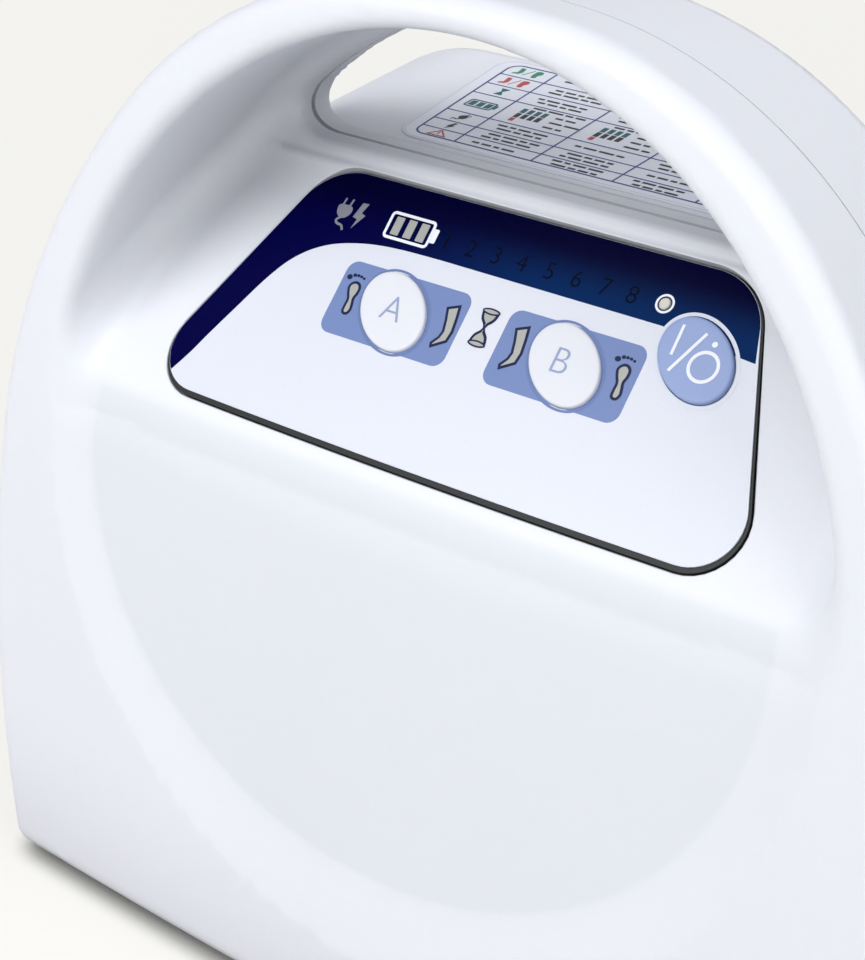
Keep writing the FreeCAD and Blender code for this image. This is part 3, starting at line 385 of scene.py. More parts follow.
NODE_FINISHES: dict[Finish, tuple[str, ...]] = {
    CASE_ABS: ("front_case", "rear_case"),
    PLATE_PC: ("panel_plate",),
    FILM_WHITE: ("panel_overlay",),
    LABEL_FILM: ("chart_label",),
    KEY_WHITE: ("key_a", "key_b"),
    KEY_BLUE: ("key_power",),
    LENS_ACRYLIC: ("status_lens",),
    LAMINATE: ("control_board", "main_board", "power_supply"),
    BLACK_NYLON: ("key_switches", "buzzer", "mains_inlet", "solenoid_valves", "pressure_sensor"),
    PORT_ABS: ("port_block", "valve_manifold"),
    PLATED_BRASS: ("air_nipples", "inlet_blades"),
    STEEL: ("hook_pin", "hook_spring", "case_screws", "chassis_tray", "compressor_motor"),
    ALUMINIUM: ("compressor_frame", "compressor_head"),
    RIBBON_PVC: ("ribbon_cable",),
    SHRINK_PVC: ("battery_pack",),
    RUBBER: ("rubber_feet", "compressor_mounts", "hook_pads"),
    CLEAR_VINYL: ("air_tube",),
    HOOK_NYLON: ("bed_hook",),
}


# ---- making pieces ------------------------------------------------------------------------------------------

def oval(centre: Point, half: Point, turn: float = 0.0, steps: int = 64) -> Loop:
    """Points round an ellipse.

    Args:
        centre: Its centre.
        half: Its half axes.
        turn: Direction of the first axis in degrees.
        steps: Number of points.

    Returns:
        The points, counterclockwise.
    """
    cos_t, sin_t = math.cos(math.radians(turn)), math.sin(math.radians(turn))
    points = []
    for i in range(steps):
        a = 2 * math.pi * i / steps
        x, y = half[0] * math.cos(a), half[1] * math.sin(a)
        points.append((centre[0] + x * cos_t - y * sin_t, centre[1] + x * sin_t + y * cos_t))
    return points


def rounded(corners: list[tuple[float, float, float]], steps: int = 10) -> Loop:
    """A closed outline with a round of its own at each corner.

    Args:
        corners: x, y and radius of each corner, in order.
        steps: Number of straight stretches in each round.

    Returns:
        The points.
    """
    points: Loop = []
    for i, (x, y, radius) in enumerate(corners):
        corner = Vector((x, y))
        before = (Vector(corners[i - 1][:2]) - corner).normalized()
        after = (Vector(corners[(i + 1) % len(corners)][:2]) - corner).normalized()
        if radius <= 0:
            points.append((x, y))
            continue
        half = before.angle(after) / 2
        centre = corner + (before + after).normalized() * (radius / math.sin(half))
        reach = radius / math.tan(half)
        first = corner + before * reach - centre
        last = corner + after * reach - centre
        swing = first.angle_signed(last)
        for k in range(steps + 1):
            turned = first.copy()
            turned.rotate(Matrix.Rotation(-swing * k / steps, 2))
            points.append(tuple(centre + turned))
    return points


def rectangle(x0: float, y0: float, x1: float, y1: float, radius: float = 0.0) -> Loop:
    """A rectangle by its corners, which are rounded where a radius is given."""
    return rounded([(x0, y0, radius), (x1, y0, radius), (x1, y1, radius), (x0, y1, radius)], 6)


def stroke(points: Loop, width: float) -> Loop:
    """The outline of a line of some width along a few points, with square ends.

    Args:
        points: The line's points.
        width: Its width.

    Returns:
        The closed outline.
    """
    left: Loop = []
    right: Loop = []
    for i, point in enumerate(points):
        here = Vector(point)
        ahead = Vector(points[min(i + 1, len(points) - 1)]) - Vector(points[max(i - 1, 0)])
        side = Vector((-ahead.y, ahead.x)).normalized() * (width / 2)
        left.append(tuple(here + side))
        right.append(tuple(here - side))
    return left + right[::-1]


def area(loop: Loop) -> float:
    """Signed area of a closed outline, positive when counterclockwise."""
    return sum(a[0] * b[1] - b[0] * a[1] for a, b in zip(loop, loop[1:] + loop[:1])) / 2


def dress(piece: bpy.types.Object, finish: Finish) -> None:
    """Give a piece one finish all over."""
    piece.data.materials.clear()
    piece.data.materials.append(finish.make())


def select_only(piece: bpy.types.Object) -> None:
    """Deselect everything, then select one piece and make it active.

    Args:
        piece: The piece.
    """
    bpy.ops.object.select_all(action="DESELECT")
    bpy.context.view_layer.objects.active = piece
    piece.select_set(True)


def add_piece(name: str, data: bpy.types.ID) -> bpy.types.Object:
    """Put an object into the scene, at the origin.

    Args:
        name: Its name.
        data: What it shows: a mesh, a curve, a lamp or a camera.

    Returns:
        The object.
    """
    piece = bpy.data.objects.new(name, data)
    bpy.context.scene.collection.objects.link(piece)
    return piece


def close_up(piece: bpy.types.Object) -> None:
    """Merge a piece's doubled points and turn its faces outwards.

    Args:
        piece: The piece.
    """
    select_only(piece)
    bpy.ops.object.mode_set(mode="EDIT")
    bpy.ops.mesh.select_all(action="SELECT")
    bpy.ops.mesh.remove_doubles(threshold=MERGE_REACH)
    bpy.ops.mesh.normals_make_consistent(inside=False)
    bpy.ops.object.mode_set(mode="OBJECT")


def as_mesh(name: str, curve: bpy.types.Curve) -> bpy.types.Mesh:
    """Turn a flat curve or a text to a mesh.

    Args:
        name: Name of the piece that it is for.
        curve: The curve or the text.

    Returns:
        The mesh.
    """
    line = add_piece(name + "_line", curve)
    bpy.context.view_layer.update()
    mesh = bpy.data.meshes.new_from_object(line.evaluated_get(bpy.context.evaluated_depsgraph_get()))
    bpy.data.objects.remove(line)
    return mesh


def print_on(name: str, outlines: list[Loop], height: float, finish: Finish, place: Matrix,
             thickness: float = 0.03, smooth: bool = False) -> bpy.types.Object:
    """A layer of ink or film: filled flat outlines with a real thickness.

    Args:
        name: Name of the piece.
        outlines: Closed outlines in millimetres. One inside another is a hole.
        height: Height of its underside over the plane.
        finish: Its finish.
        place: Where the plane lies.
        thickness: Thickness of the layer in millimetres.
        smooth: Whether the line through the points is smooth.

    Returns:
        The piece, as a mesh at its place.
    """
    curve = bpy.data.curves.new(name, "CURVE")
    curve.dimensions = "2D"
    curve.fill_mode = "BOTH"
    curve.extrude = thickness / 2
    curve.resolution_u = 6
    for loop in outlines:
        line = curve.splines.new("BEZIER" if smooth else "POLY")
        if smooth:
            line.bezier_points.add(len(loop) - 1)
            for knot, (x, y) in zip(line.bezier_points, loop):
                knot.co = (x, y, 0)
                knot.handle_left_type = knot.handle_right_type = "AUTO"
        else:
            line.points.add(len(loop) - 1)
            for knot, (x, y) in zip(line.points, loop):
                knot.co = (x, y, 0, 1)
        line.use_cyclic_u = True
    return finish_print(name, as_mesh(name, curve), height + thickness / 2, finish, place)


def finish_print(name: str, mesh: bpy.types.Mesh, height: float, finish: Finish,
                 place: Matrix) -> bpy.types.Object:
    """Merge, place and dress the mesh of a flat print.

    Args:
        name: Name of the piece.
        mesh: Its mesh, in millimetres on the plane.
        height: Height of its middle over the plane.
        finish: Its finish.
        place: Where the plane lies.

    Returns:
        The piece.
    """
    piece = add_piece(name, mesh)
    close_up(piece)
    mesh.transform(place @ Matrix.Translation((0, 0, height)))
    dress(piece, finish)
    return piece


def letters(name: str, words: str, centre: Point, size: float, height: float, finish: Finish, place: Matrix,
            thin: float = 0.0, thickness: float = 0.03) -> bpy.types.Object:
    """Printed characters.

    Args:
        name: Name of the piece.
        words: The characters.
        centre: Their middle on the plane.
        size: Height of the capitals in millimetres.
        height: Height of the underside over the plane.
        finish: Their finish.
        place: Where the plane lies.
        thin: How far the strokes are thinned, in millimetres.
        thickness: Thickness of the layer in millimetres.

    Returns:
        The piece.
    """
    curve = bpy.data.curves.new(name, "FONT")
    curve.body = words
    curve.align_x = "CENTER"
    curve.align_y = "CENTER"
    curve.size = size / CAPITAL_SHARE
    curve.offset = -thin
    curve.extrude = thickness / 2
    curve.resolution_u = 6
    mesh = as_mesh(name, curve)
    low = Vector([min(v.co[i] for v in mesh.vertices) for i in range(2)])
    high = Vector([max(v.co[i] for v in mesh.vertices) for i in range(2)])
    middle = (low + high) / 2
    mesh.transform(Matrix.Translation((centre[0] - middle.x, centre[1] - middle.y, 0)))
    return finish_print(name, mesh, height + thickness / 2, finish, place)


class Body(Enum):
    """The bodies that pieces ride on."""

    CASE = "case"
    KEY_A = "key_a"
    KEY_B = "key_b"
    KEY_POWER = "key_power"
    BED_HOOK = "bed_hook"


def mount(piece: bpy.types.Object, body: Body) -> None:
    """Let a piece ride on its body and report it.

    Args:
        piece: The piece.
        body: The body that it moves with.
    """
    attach(piece, body.value)
    LOG.info("%s rides on %s, %d faces", piece.name, body.value, len(piece.data.polygons))


def loft(name: str, levels: list[tuple[Loop, float]], place: Matrix) -> bpy.types.Object:
    """A solid through outlines at rising heights, extruded from a disc level by level.

    Args:
        name: Name of the piece.
        levels: Each level's outline and height in millimetres. All outlines have the same number of points.
        place: Where the plane lies.

    Returns:
        The piece, closed at both ends.
    """
    count = len(levels[0][0])
    bpy.ops.mesh.primitive_circle_add(vertices=count, fill_type="NGON")
    piece = bpy.context.object
    piece.name = piece.data.name = name
    select_only(piece)
    mesh = piece.data
    for number, (loop, height) in enumerate(levels):
        if number:
            bpy.ops.object.mode_set(mode="EDIT")
            if number == 1:
                bpy.ops.mesh.select_all(action="SELECT")
            bpy.ops.mesh.extrude_region_move()
            bpy.ops.object.mode_set(mode="OBJECT")
        spots = np.empty(len(mesh.vertices) * 3)
        mesh.vertices.foreach_get("co", spots)
        spots = spots.reshape(-1, 3)
        spots[-count:] = [(x, y, height) for x, y in loop]
        mesh.vertices.foreach_set("co", spots.ravel())
    close_up(piece)
    mesh.transform(place)
    return piece


def prism(name: str, loop: Loop, low: float, high: float, place: Matrix) -> bpy.types.Object:
    """A solid prism over a closed outline.

    Args:
        name: Name of the piece.
        loop: The outline in millimetres.
        low: Height of its underside over the plane.
        high: Height of its top.
        place: Where the plane lies.

    Returns:
        The piece.
    """
    return loft(name, [(loop, low), (loop, high)], place)


def lathe(name: str, profile: list[Point], place: Matrix, steps: int = 40) -> bpy.types.Object:
    """A ring spun about the plane's normal from a closed profile.

    Args:
        name: Name of the piece.
        profile: Radius and height of the profile's points in millimetres.
        place: Where the plane lies.
        steps: Number of straight stretches round it.

    Returns:
        The piece.
    """
    bpy.ops.mesh.primitive_circle_add(vertices=len(profile))
    piece = bpy.context.object
    piece.name = piece.data.name = name
    select_only(piece)
    piece.data.vertices.foreach_set("co", [value for radius, height in profile for value in (radius, 0.0, height)])
    bpy.ops.object.mode_set(mode="EDIT")
    bpy.ops.mesh.select_all(action="SELECT")
    bpy.ops.mesh.spin(steps=steps, angle=2 * math.pi, center=(0, 0, 0), axis=(0, 0, 1))
    bpy.ops.object.mode_set(mode="OBJECT")
    close_up(piece)
    piece.data.transform(place)
    return piece


def bevel(piece: bpy.types.Object, width: float, segments: int = 3) -> None:
    """Round the hard edges of a piece.

    Args:
        piece: The piece.
        width: Width of the round in millimetres.
        segments: Number of faces across it.
    """
    change = piece.modifiers.new("bevel", "BEVEL")
    change.width = width * MM
    change.segments = segments
    change.limit_method = "ANGLE"
    change.angle_limit = math.radians(EDGE_ANGLE)
    select_only(piece)
    bpy.ops.object.modifier_apply(modifier=change.name)


def rod(name: str, start: Spot, end: Spot, radius: float, steps: int = 24) -> bpy.types.Object:
    """A round rod between two points.

    Args:
        name: Name of the piece.
        start: Its first end in millimetres.
        end: Its other end.
        radius: Its radius.
        steps: Number of faces round it.

    Returns:
        The piece.
    """
    first, last = Vector(start), Vector(end)
    turn = (last - first).to_track_quat("Z", "Y").to_matrix().to_4x4()
    here = SCALE_PLACE @ Matrix.Translation(first) @ turn
    return prism(name, oval((0, 0), (radius, radius), 0, steps), 0, (last - first).length, here)


def grow(loop: Loop, margin: float) -> Loop:
    """An outline with every side moved outwards, or inwards where the margin is negative.

    Args:
        loop: The outline.
        margin: How far each side moves.

    Returns:
        The new outline, counterclockwise.
    """
    if area(loop) < 0:
        loop = loop[::-1]
    grown: Loop = []
    count = len(loop)
    for i in range(count):
        here, before, after = Vector(loop[i]), Vector(loop[i - 1]), Vector(loop[(i + 1) % count])
        sides = [Vector((d.y, -d.x)).normalized() for d in (here - before, after - here)]
        middle = (sides[0] + sides[1]).normalized()
        grown.append(tuple(here + middle * (margin / max(middle.dot(sides[0]), 0.3))))
    return grown


def curve_through(points: Loop, closed: bool = True, steps: int = 6) -> Loop:
    """A smooth line through points.

    Args:
        points: The points.
        closed: Whether the line runs back to its start.
        steps: Number of straight stretches between two points.

    Returns:
        The line's points.
    """
    count = len(points)
    line: Loop = []
    for i in range(count if closed else count - 1):
        if closed:
            knots = [Vector(points[(i + k) % count]) for k in (-1, 0, 1, 2)]
        else:
            knots = [Vector(points[min(max(i + k, 0), count - 1)]) for k in (-1, 0, 1, 2)]
        for k in range(steps):
            t = k / steps
            a, b, c, d = knots
            spot = 0.5 * (2 * b + (c - a) * t + (2 * a - 5 * b + 4 * c - d) * t * t
                          + (3 * b - a - 3 * c + d) * t ** 3)
            line.append(tuple(spot))
    if not closed:
        line.append(tuple(points[-1]))
    return line


def join(pieces: list[bpy.types.Object], name: str) -> bpy.types.Object:
    """Join pieces.

    Args:
        pieces: The pieces. The first one takes in the others.
        name: Name of what they become.

    Returns:
        The joined piece.
    """
    select_only(pieces[0])
    for piece in pieces[1:]:
        piece.select_set(True)
    bpy.ops.object.join()
    pieces[0].name = name
    return pieces[0]


def soften(piece: bpy.types.Object, angle: float) -> None:
    """Shade a piece smoothly, with hard edges where it turns by more than an angle in degrees."""
    select_only(piece)
    bpy.ops.object.shade_smooth_by_angle(angle=math.radians(angle))


def carve(piece: bpy.types.Object, cutters: list[bpy.types.Object], operation: str = "DIFFERENCE") -> None:
    """Cut pieces out of a piece, or unite them with it.

    Args:
        piece: The piece that is changed.
        cutters: The other pieces, which are used up.
        operation: DIFFERENCE or UNION.
    """
    for cutter in cutters:
        change = piece.modifiers.new("carve", "BOOLEAN")
        change.operation = operation
        change.solver = "EXACT"
        change.object = cutter
        select_only(piece)
        bpy.ops.object.modifier_apply(modifier=change.name)
        bpy.data.objects.remove(cutter)


# ---- case ---------------------------------------------------------------------------------------------------

def round_over(one: Field, other: Field, radius: Field | float) -> Field:
    """Cut one form by another, with a true round along their common edge.

    Args:
        one: Field of one form.
        other: Field of the other.
        radius: Radius of the round.

    Returns:
        Field of what lies inside both.
    """
    inner = np.minimum(np.maximum(one, other), -radius)
    return inner + np.hypot(np.maximum(one + radius, 0), np.maximum(other + radius, 0))


def round_under(one: Field, other: Field, radius: float) -> Field:
    """Field of what lies inside either of two forms, with a fillet of some radius between them."""
    return -round_over(-one, -other, radius)


@dataclass(frozen=True)
class CaseForm:
    """The outer form of the case as a field of signed distances, in millimetres and negative inside.

    Attributes:
        crown: Height of the top.
        arcs: Tangent arcs of the outline: radius, and angle from the vertical at the lower end.
        floor: Height of the underside.
        draft: Inset of the outline per millimetre towards the back.
        widest: Where the outline has its nominal size.
        nose_axis: Distance of the vertical axis that the front face turns about.
        nose_ring: Radius of the circle that the centre of the front face's profile runs on.
        nose_centre: Height of that centre.
        nose_radius: Radius of the profile.
        nose_round: Round between the front face and the sides.
        base_round: Round between the underside and the sides.
        bowl_centre: Height of the control cavity's axis.
        bowl_radius: Radius of the cavity at its back.
        bowl_draft: How much it widens per millimetre towards the front.
        bowl_back: Y of its back.
        bowl_round: Round between its walls, its back and its shelf.
        rim_round: Round of its rim in the arch and beside the shelf.
        rim_change: Heights between which that round changes.
        arc_centre: Height of the centre of the recess's and the mouth's arcs.
        recess_rim: Radius of the recess's outer edge.
        recess_floor: Height of the middle of the recess's floor, and its half axes.
        recess_depth: Depth of the recess.
        recess_edge: How much the slope overshoots before it flattens into the floor.
        recess_fade: Height over which the recess runs out under the shelf.
        mouth_sill: Height of the handle mouth's lower edge.
        mouth_radius: Radius of its upper edge.
        mouth_end: Radius of its corners.
        mouth_round: Round along its edges.
        arch_back: Y of the arch's rear face.
        arch_round: Round of that face.
        body_front: Y where the rear body starts inside the arch.
        body_half: Half width of the rear body.
        deck: Height of its deck at the arch.
        shoulder: Round between the deck and the sides.
        body_base: Round between the underside and the sides.
        back: Y of the rear face.
        back_round: Round of that face.
        neck: Fillet between the arch and the rear body.
        wall: Thickness of the wall.
        arch_wall: Its thickness in the arch.
        wall_change: Heights between which it changes.
        box: Lower and upper corner of the space that is measured.
    """

    crown: float = 187.5
    arcs: tuple[tuple[float, float], ...] = ((178.0, 5.85), (78.5, 51.6), (120.0, 85.8), (357.0, 101.2))
    floor: float = 2.0
    draft: float = 1.2 / 29.8
    widest: float = -45.0
    nose_axis: float = 1743.7
    nose_ring: float = 907.909
    nose_centre: float = -44.314
    nose_radius: float = 892.957
    nose_round: float = 3.4
    base_round: float = 3.5
    bowl_centre: float = 99.05
    bowl_radius: float = 80.6
    bowl_draft: float = 0.035
    bowl_back: float = -1.2
    bowl_round: float = 8.0
    rim_round: Point = (3.0, 6.0)
    rim_change: Point = (100.0, 112.0)
    arc_centre: float = 100.65
    recess_rim: float = 81.9
    recess_floor: Spot = (98.0, 73.3, 64.3)
    recess_depth: float = 2.2
    recess_edge: float = 0.08
    recess_fade: float = 8.0
    mouth_sill: float = 148.0
    mouth_radius: float = 76.8
    mouth_end: float = 9.6
    mouth_round: float = 1.3
    arch_back: float = 6.5
    arch_round: float = 3.2
    body_front: float = -5.0
    body_half: float = 89.0
    deck: float = 146.2
    shoulder: float = 35.0
    body_base: float = 6.0
    back: float = 55.8
    back_round: float = 4.5
    neck: float = 1.2
    wall: float = 2.6
    arch_wall: float = 1.8
    wall_change: Point = (152.0, 162.0)
    box: tuple[Spot, Spot] = ((-104.0, -62.0, -4.0), (104.0, 62.0, 194.0))

    def outline(self, x: Field, z: Field) -> Field:
        """Distance to the case's outline, seen from the front.

        Args:
            x: X of the points that are measured.
            z: Their Z.

        Returns:
            The field at these points.
        """
        side = np.abs(x)
        spot_x, spot_z, start = 0.0, self.crown, 0.0
        field = beyond = None
        for radius, angle in self.arcs:
            end = math.radians(angle)
            centre_x, centre_z = spot_x - radius * math.sin(start), spot_z - radius * math.cos(start)
            own = np.hypot(side - centre_x, z - centre_z) - radius
            field = own if field is None else np.where(beyond, own, field)
            beyond = (side - centre_x) * math.cos(end) - (z - centre_z) * math.sin(end) > 0
            spot_x, spot_z, start = centre_x + radius * math.sin(end), centre_z + radius * math.cos(end), end
        return field

    def nose(self, x: Field, y: Field, z: Field) -> Field:
        """Distance to the front face with its shallow oval recess.

        Args:
            x: X of the points that are measured.
            y: Their Y.
            z: Their Z.

        Returns:
            The field at these points.
        """
        reach = np.hypot(x, y - self.nose_axis)
        face = np.hypot(reach - self.nose_ring, z - self.nose_centre) - self.nose_radius
        centre, half, height = self.recess_floor
        turn = np.arctan2(x, centre - z)
        floor = 1 / np.hypot(np.sin(turn) / half, np.cos(turn) / height)
        lift = self.arc_centre - centre
        rim = lift * -np.cos(turn) + np.sqrt(self.recess_rim ** 2 - (lift * np.sin(turn)) ** 2)
        share = np.clip((rim - np.hypot(x, z - centre)) / (rim - floor), 0, 1)
        slope = share * (1 + self.recess_edge) - self.recess_edge * share ** 6
        fade = np.clip((self.arc_centre + self.recess_fade - z) / self.recess_fade, 0, 1)
        return face + self.recess_depth * np.minimum(slope, 1) * fade

    def bowl(self, x: Field, y: Field, z: Field) -> Field:
        """Distance to the control cavity's walls.

        Args:
            x: X of the points that are measured.
            y: Their Y.
            z: Their Z.

        Returns:
            The field at these points, negative in the cavity.
        """
        drum = np.hypot(x, z - self.bowl_centre) - self.bowl_radius - self.bowl_draft * (self.bowl_back - y)
        _, panel_y, panel_z = PANEL_MIDDLE
        shelf = (y - panel_y) * math.sin(PANEL_TILT) - (z - panel_z) * math.cos(PANEL_TILT)
        hollow = round_over(drum, y - self.bowl_back, self.bowl_round)
        return round_over(hollow, shelf, self.bowl_round)

    def mouth(self, x: Field, z: Field) -> Field:
        """Distance to the handle mouth's edge, negative in the mouth."""
        top = np.hypot(x, z - self.arc_centre) - self.mouth_radius
        return round_over(self.mouth_sill - z, top, self.mouth_end)

    def mouth_rim(self) -> Loop:
        """The handle mouth's outline, found outwards from a point in it by halving.

        Returns:
            The outline, counterclockwise.
        """
        count, inner, farthest = 240, 160.0, 90.0
        turns = np.linspace(0, 2 * math.pi, count, endpoint=False)
        low, high = np.zeros(count), np.full(count, farthest)
        for _ in range(40):
            reach = (low + high) / 2
            inside = self.mouth(reach * np.cos(turns), inner + reach * np.sin(turns)) < 0
            low, high = np.where(inside, reach, low), np.where(inside, high, reach)
        return [(float(r * math.cos(t)), float(inner + r * math.sin(t))) for r, t in zip(low, turns)]

    def body(self, x: Field, y: Field, z: Field) -> Field:
        """Distance to the rear body behind the arch.

        Args:
            x: X of the points that are measured.
            y: Their Y.
            z: Their Z.

        Returns:
            The field at these points.
        """
        roof = (z - self.deck) * math.cos(DECK_SLOPE) - (y - self.arch_back) * math.sin(DECK_SLOPE)
        around = round_over(np.abs(x) - self.body_half, roof, self.shoulder)
        around = round_over(around, self.floor - z, self.body_base)
        return np.maximum(round_over(around, y - self.back, self.back_round), self.body_front - y)

    def around(self, x: Field, y: Field, z: Field) -> Field:
        """Distance to the drafted outline with its underside."""
        return round_over(self.outline(x, z) + self.draft * (y - self.widest), self.floor - z, self.base_round)

    def solid(self, x: Field, y: Field, z: Field) -> Field:
        """Distance to the outside of the whole case.

        Args:
            x: X of the points that are measured.
            y: Their Y.
            z: Their Z.

        Returns:
            The field at these points.
        """
        arch = round_over(self.around(x, y, z), self.nose(x, y, z), self.nose_round)
        arch = round_over(arch, y - self.arch_back, self.arch_round)
        (upper, lower), (end, start) = self.rim_round, self.rim_change
        rim = upper + (lower - upper) * np.clip((start - z) / (start - end), 0, 1)
        arch = round_over(arch, -self.bowl(x, y, z), rim)
        arch = round_over(arch, -self.mouth(x, z), self.mouth_round)
        return round_under(arch, self.body(x, y, z), self.neck)

    def shell(self, spots: Field) -> Field:
        """Distance to the wall of the hollow case.

        Args:
            spots: The points that are measured, with X, Y and Z in the last axis.

        Returns:
            The field at these points.
        """
        outside = self.solid(spots[..., 0], spots[..., 1], spots[..., 2])
        start, end = self.wall_change
        wall = self.wall + (self.arch_wall - self.wall) * np.clip((spots[..., 2] - start) / (end - start), 0, 1)
        return np.maximum(outside, -(outside + wall))

    def slope(self, spots: Field) -> Field:
        """Direction in which the shell's field grows, which is the normal of its skin.

        Args:
            spots: The points, with X, Y and Z in the last axis.

        Returns:
            A unit vector for each point.
        """
        reach = 0.03
        steps = []
        for axis in range(3):
            shift = np.zeros(3)
            shift[axis] = reach
            steps.append(self.shell(spots + shift) - self.shell(spots - shift))
        grown = np.stack(steps, -1)
        return grown / np.maximum(np.linalg.norm(grown, axis=-1, keepdims=True), 1e-9)

    def mesh(self, step: float) -> tuple[Field, Field]:
        """Points and four-sided faces of the shell's skin, with each point moved onto the form itself.

        Args:
            step: Size of a face in millimetres.

        Returns:
            The points, and the faces as rows of point numbers.
        """
        low = np.array(self.box[0])
        axes = [np.arange(a, b, step) for a, b in zip(*self.box)]
        field = self.shell(np.stack(np.meshgrid(*axes, indexing="ij"), -1))
        band = 3 * step
        volume = openvdb.FloatGrid(band)
        volume.copyFromArray(np.ascontiguousarray(np.clip(field, -band, band).astype(np.float32)))
        points, faces = volume.convertToQuads(0.0)
        spots = points.astype(float) * step + low
        for _ in range(4):
            spots -= self.slope(spots) * np.clip(self.shell(spots), -step / 2, step / 2)[:, None]
        return spots, faces


@dataclass
class Case:
    """The two case halves with their openings.

    Attributes:
        form: The outer form.
        seam: Y where the halves meet, round the outside.
        gap: Width of the seam.
        mouth_seam: Y where they meet in the handle mouth.
        mouth_gap: Width of the seam there.
        mouth_reach: How far outside the mouth's wall the skin still belongs to it.
        groove: The groove along that seam: how far it stands out, and where it starts and ends.
        step: Size of a face of the skin.
        crumb: How exactly a cut edge lies in its plane, in metres.
        plate_gap: Gap round the panel plate.
        pocket: Profile of the plate's pocket: how far it flares, and the height over the panel plane.
        flare_share: Height of full flare, how far above it the flare is gone, and its least share.
        window: Inset of the opening under the plate, and its two heights.
        walls: Boxes behind the openings: x and z of two corners and a radius, and where they start and end.
        cuts: Openings at the back: x and z of two corners and a radius, and how far they reach in.
        well: Radius of a screw well and of the wall round it.
        well_ends: How far the well and its wall reach in.
        skin_reach: How near the form a point has to lie to be shaded by it.
        skin_turn: Least cosine between such a point's face and the form's normal.
    """

    form: CaseForm = field(default_factory=CaseForm)
    seam: float = -15.2
    gap: float = 0.2
    mouth_seam: float = 2.6
    mouth_gap: float = 0.04
    mouth_reach: float = 0.6
    groove: Spot = (0.9, -1.6, -0.5)
    step: float = 1.6
    crumb: float = 2e-6
    plate_gap: float = 0.2
    pocket: tuple[Point, ...] = (
        (0, -1.5), (0, -0.55), (0.06, -0.34), (0.2, -0.14), (0.42, -0.02), (0.7, 0.03), (0.9, 8))
    flare_share: Spot = (-18.0, 30.0, 0.1)
    window: Spot = (2.0, -8.0, 1.0)
    walls: tuple[tuple[str, Box, Point], ...] = (
        ("bay_walls", (-50.4, 49.1, 50.4, 136.4, 6.4), (-54.8, -45.6)),
        ("slot_walls", (-48.4, 49.1, 48.4, 64.4, 2.4), (-46.0, -34.0)))
    cuts: tuple[tuple[str, Box, float], ...] = (
        ("bay", (-48.0, 51.5, 48.0, 134.0, 4.0), -48.0), ("slot", (-46.0, 51.5, 46.0, 62.0, 0.0), -36.4),
        ("ports", (-66.1, 14.9, -5.9, 39.1, 3.1), -48.0), ("inlet", (27.7, 16.6, 56.3, 37.4, 0.0), -48.0),
        ("inlet_rim", (25.7, 14.6, 58.3, 39.4, 3.1), -54.3))
    well: Point = (3.6, 5.8)
    well_ends: Point = (12.2, 14.6)
    skin_reach: float = 0.05
    skin_turn: float = 0.8

    def build(self) -> None:
        """Build both halves."""
        front, rear = self.halves(*self.form.mesh(self.step))
        self.cut_front(front)
        self.cut_rear(rear)
        for piece, node in ((front, "front_case"), (rear, "rear_case")):
            dress(piece, CASE_ABS)
            self.true_normals(piece)
            mount(piece, Body.CASE)
            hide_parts(node)

    def halves(self, spots: Field, faces: Field) -> list[bpy.types.Object]:
        """Part the skin along the seam outside the bowl, and along the handle mouth inside it.

        Args:
            spots: Points of the skin in millimetres.
            faces: Its faces.

        Returns:
            The front half and the rear half, each closed along its edges.
        """
        mesh = bpy.data.meshes.new("case_skin")
        mesh.from_pydata((spots * MM).tolist(), [], faces.tolist())
        work = bmesh.new()
        work.from_mesh(mesh)
        planes = []
        for middle, gap, inside in ((self.seam, self.gap, False), (self.mouth_seam, self.mouth_gap, True)):
            low, high = middle - gap / 2, middle + gap / 2
            planes += [low, high]
            for y in (low, high):
                near = self.near_seam(work, y - 2 * self.step, y + 2 * self.step, inside)
                edges, points = {e for f in near for e in f.edges}, {v for f in near for v in f.verts}
                bmesh.ops.bisect_plane(work, geom=[*near, *edges, *points], dist=self.crumb / 20,
                                       plane_co=(0, y * MM, 0), plane_no=(0, 1, 0))
            bmesh.ops.delete(work, geom=self.near_seam(work, low, high, inside), context="FACES")
        for y in planes:
            rim = [e for e in work.edges if e.is_boundary and all(abs(v.co.y - y * MM) < self.crumb for v in e.verts)]
            bmesh.ops.triangle_fill(work, use_beauty=True, edges=rim, normal=(0, 1, 0))
        bmesh.ops.recalc_face_normals(work, faces=work.faces)
        work.to_mesh(mesh)
        work.free()
        select_only(add_piece("case_skin", mesh))
        bpy.ops.mesh.separate(type="LOOSE")
        found = sorted(bpy.context.selected_objects, key=lambda piece: -len(piece.data.vertices))
        for crumb in found[2:]:
            bpy.data.objects.remove(crumb)
        pair = sorted(found[:2], key=lambda piece: min(v.co.y for v in piece.data.vertices))
        for piece, name in zip(pair, ("front_case_shell", "rear_case_shell")):
            piece.name = name
        return pair

    def near_seam(self, work: bmesh.types.BMesh, low: float, high: float, inside: bool) -> list[bmesh.types.BMFace]:
        """Find the faces that a seam runs through.

        Args:
            work: The skin.
            low: Y behind which they lie.
            high: Y in front of which they lie.
            inside: Whether they lie in the handle mouth, or else nearer to the outline than to the bowl.

        Returns:
            The faces.
        """
        faces = [f for f in work.faces if low * MM <= f.calc_center_median().y <= high * MM]
        x, y, z = (np.array([f.calc_center_median()[:] for f in faces]).reshape(-1, 3) / MM).T
        if inside:
            chosen = self.form.mouth(x, z) < self.form.wall + self.mouth_reach
        else:
            chosen = self.form.bowl(x, y, z) > -self.form.around(x, y, z)
        return [f for f, take in zip(faces, chosen) if take]

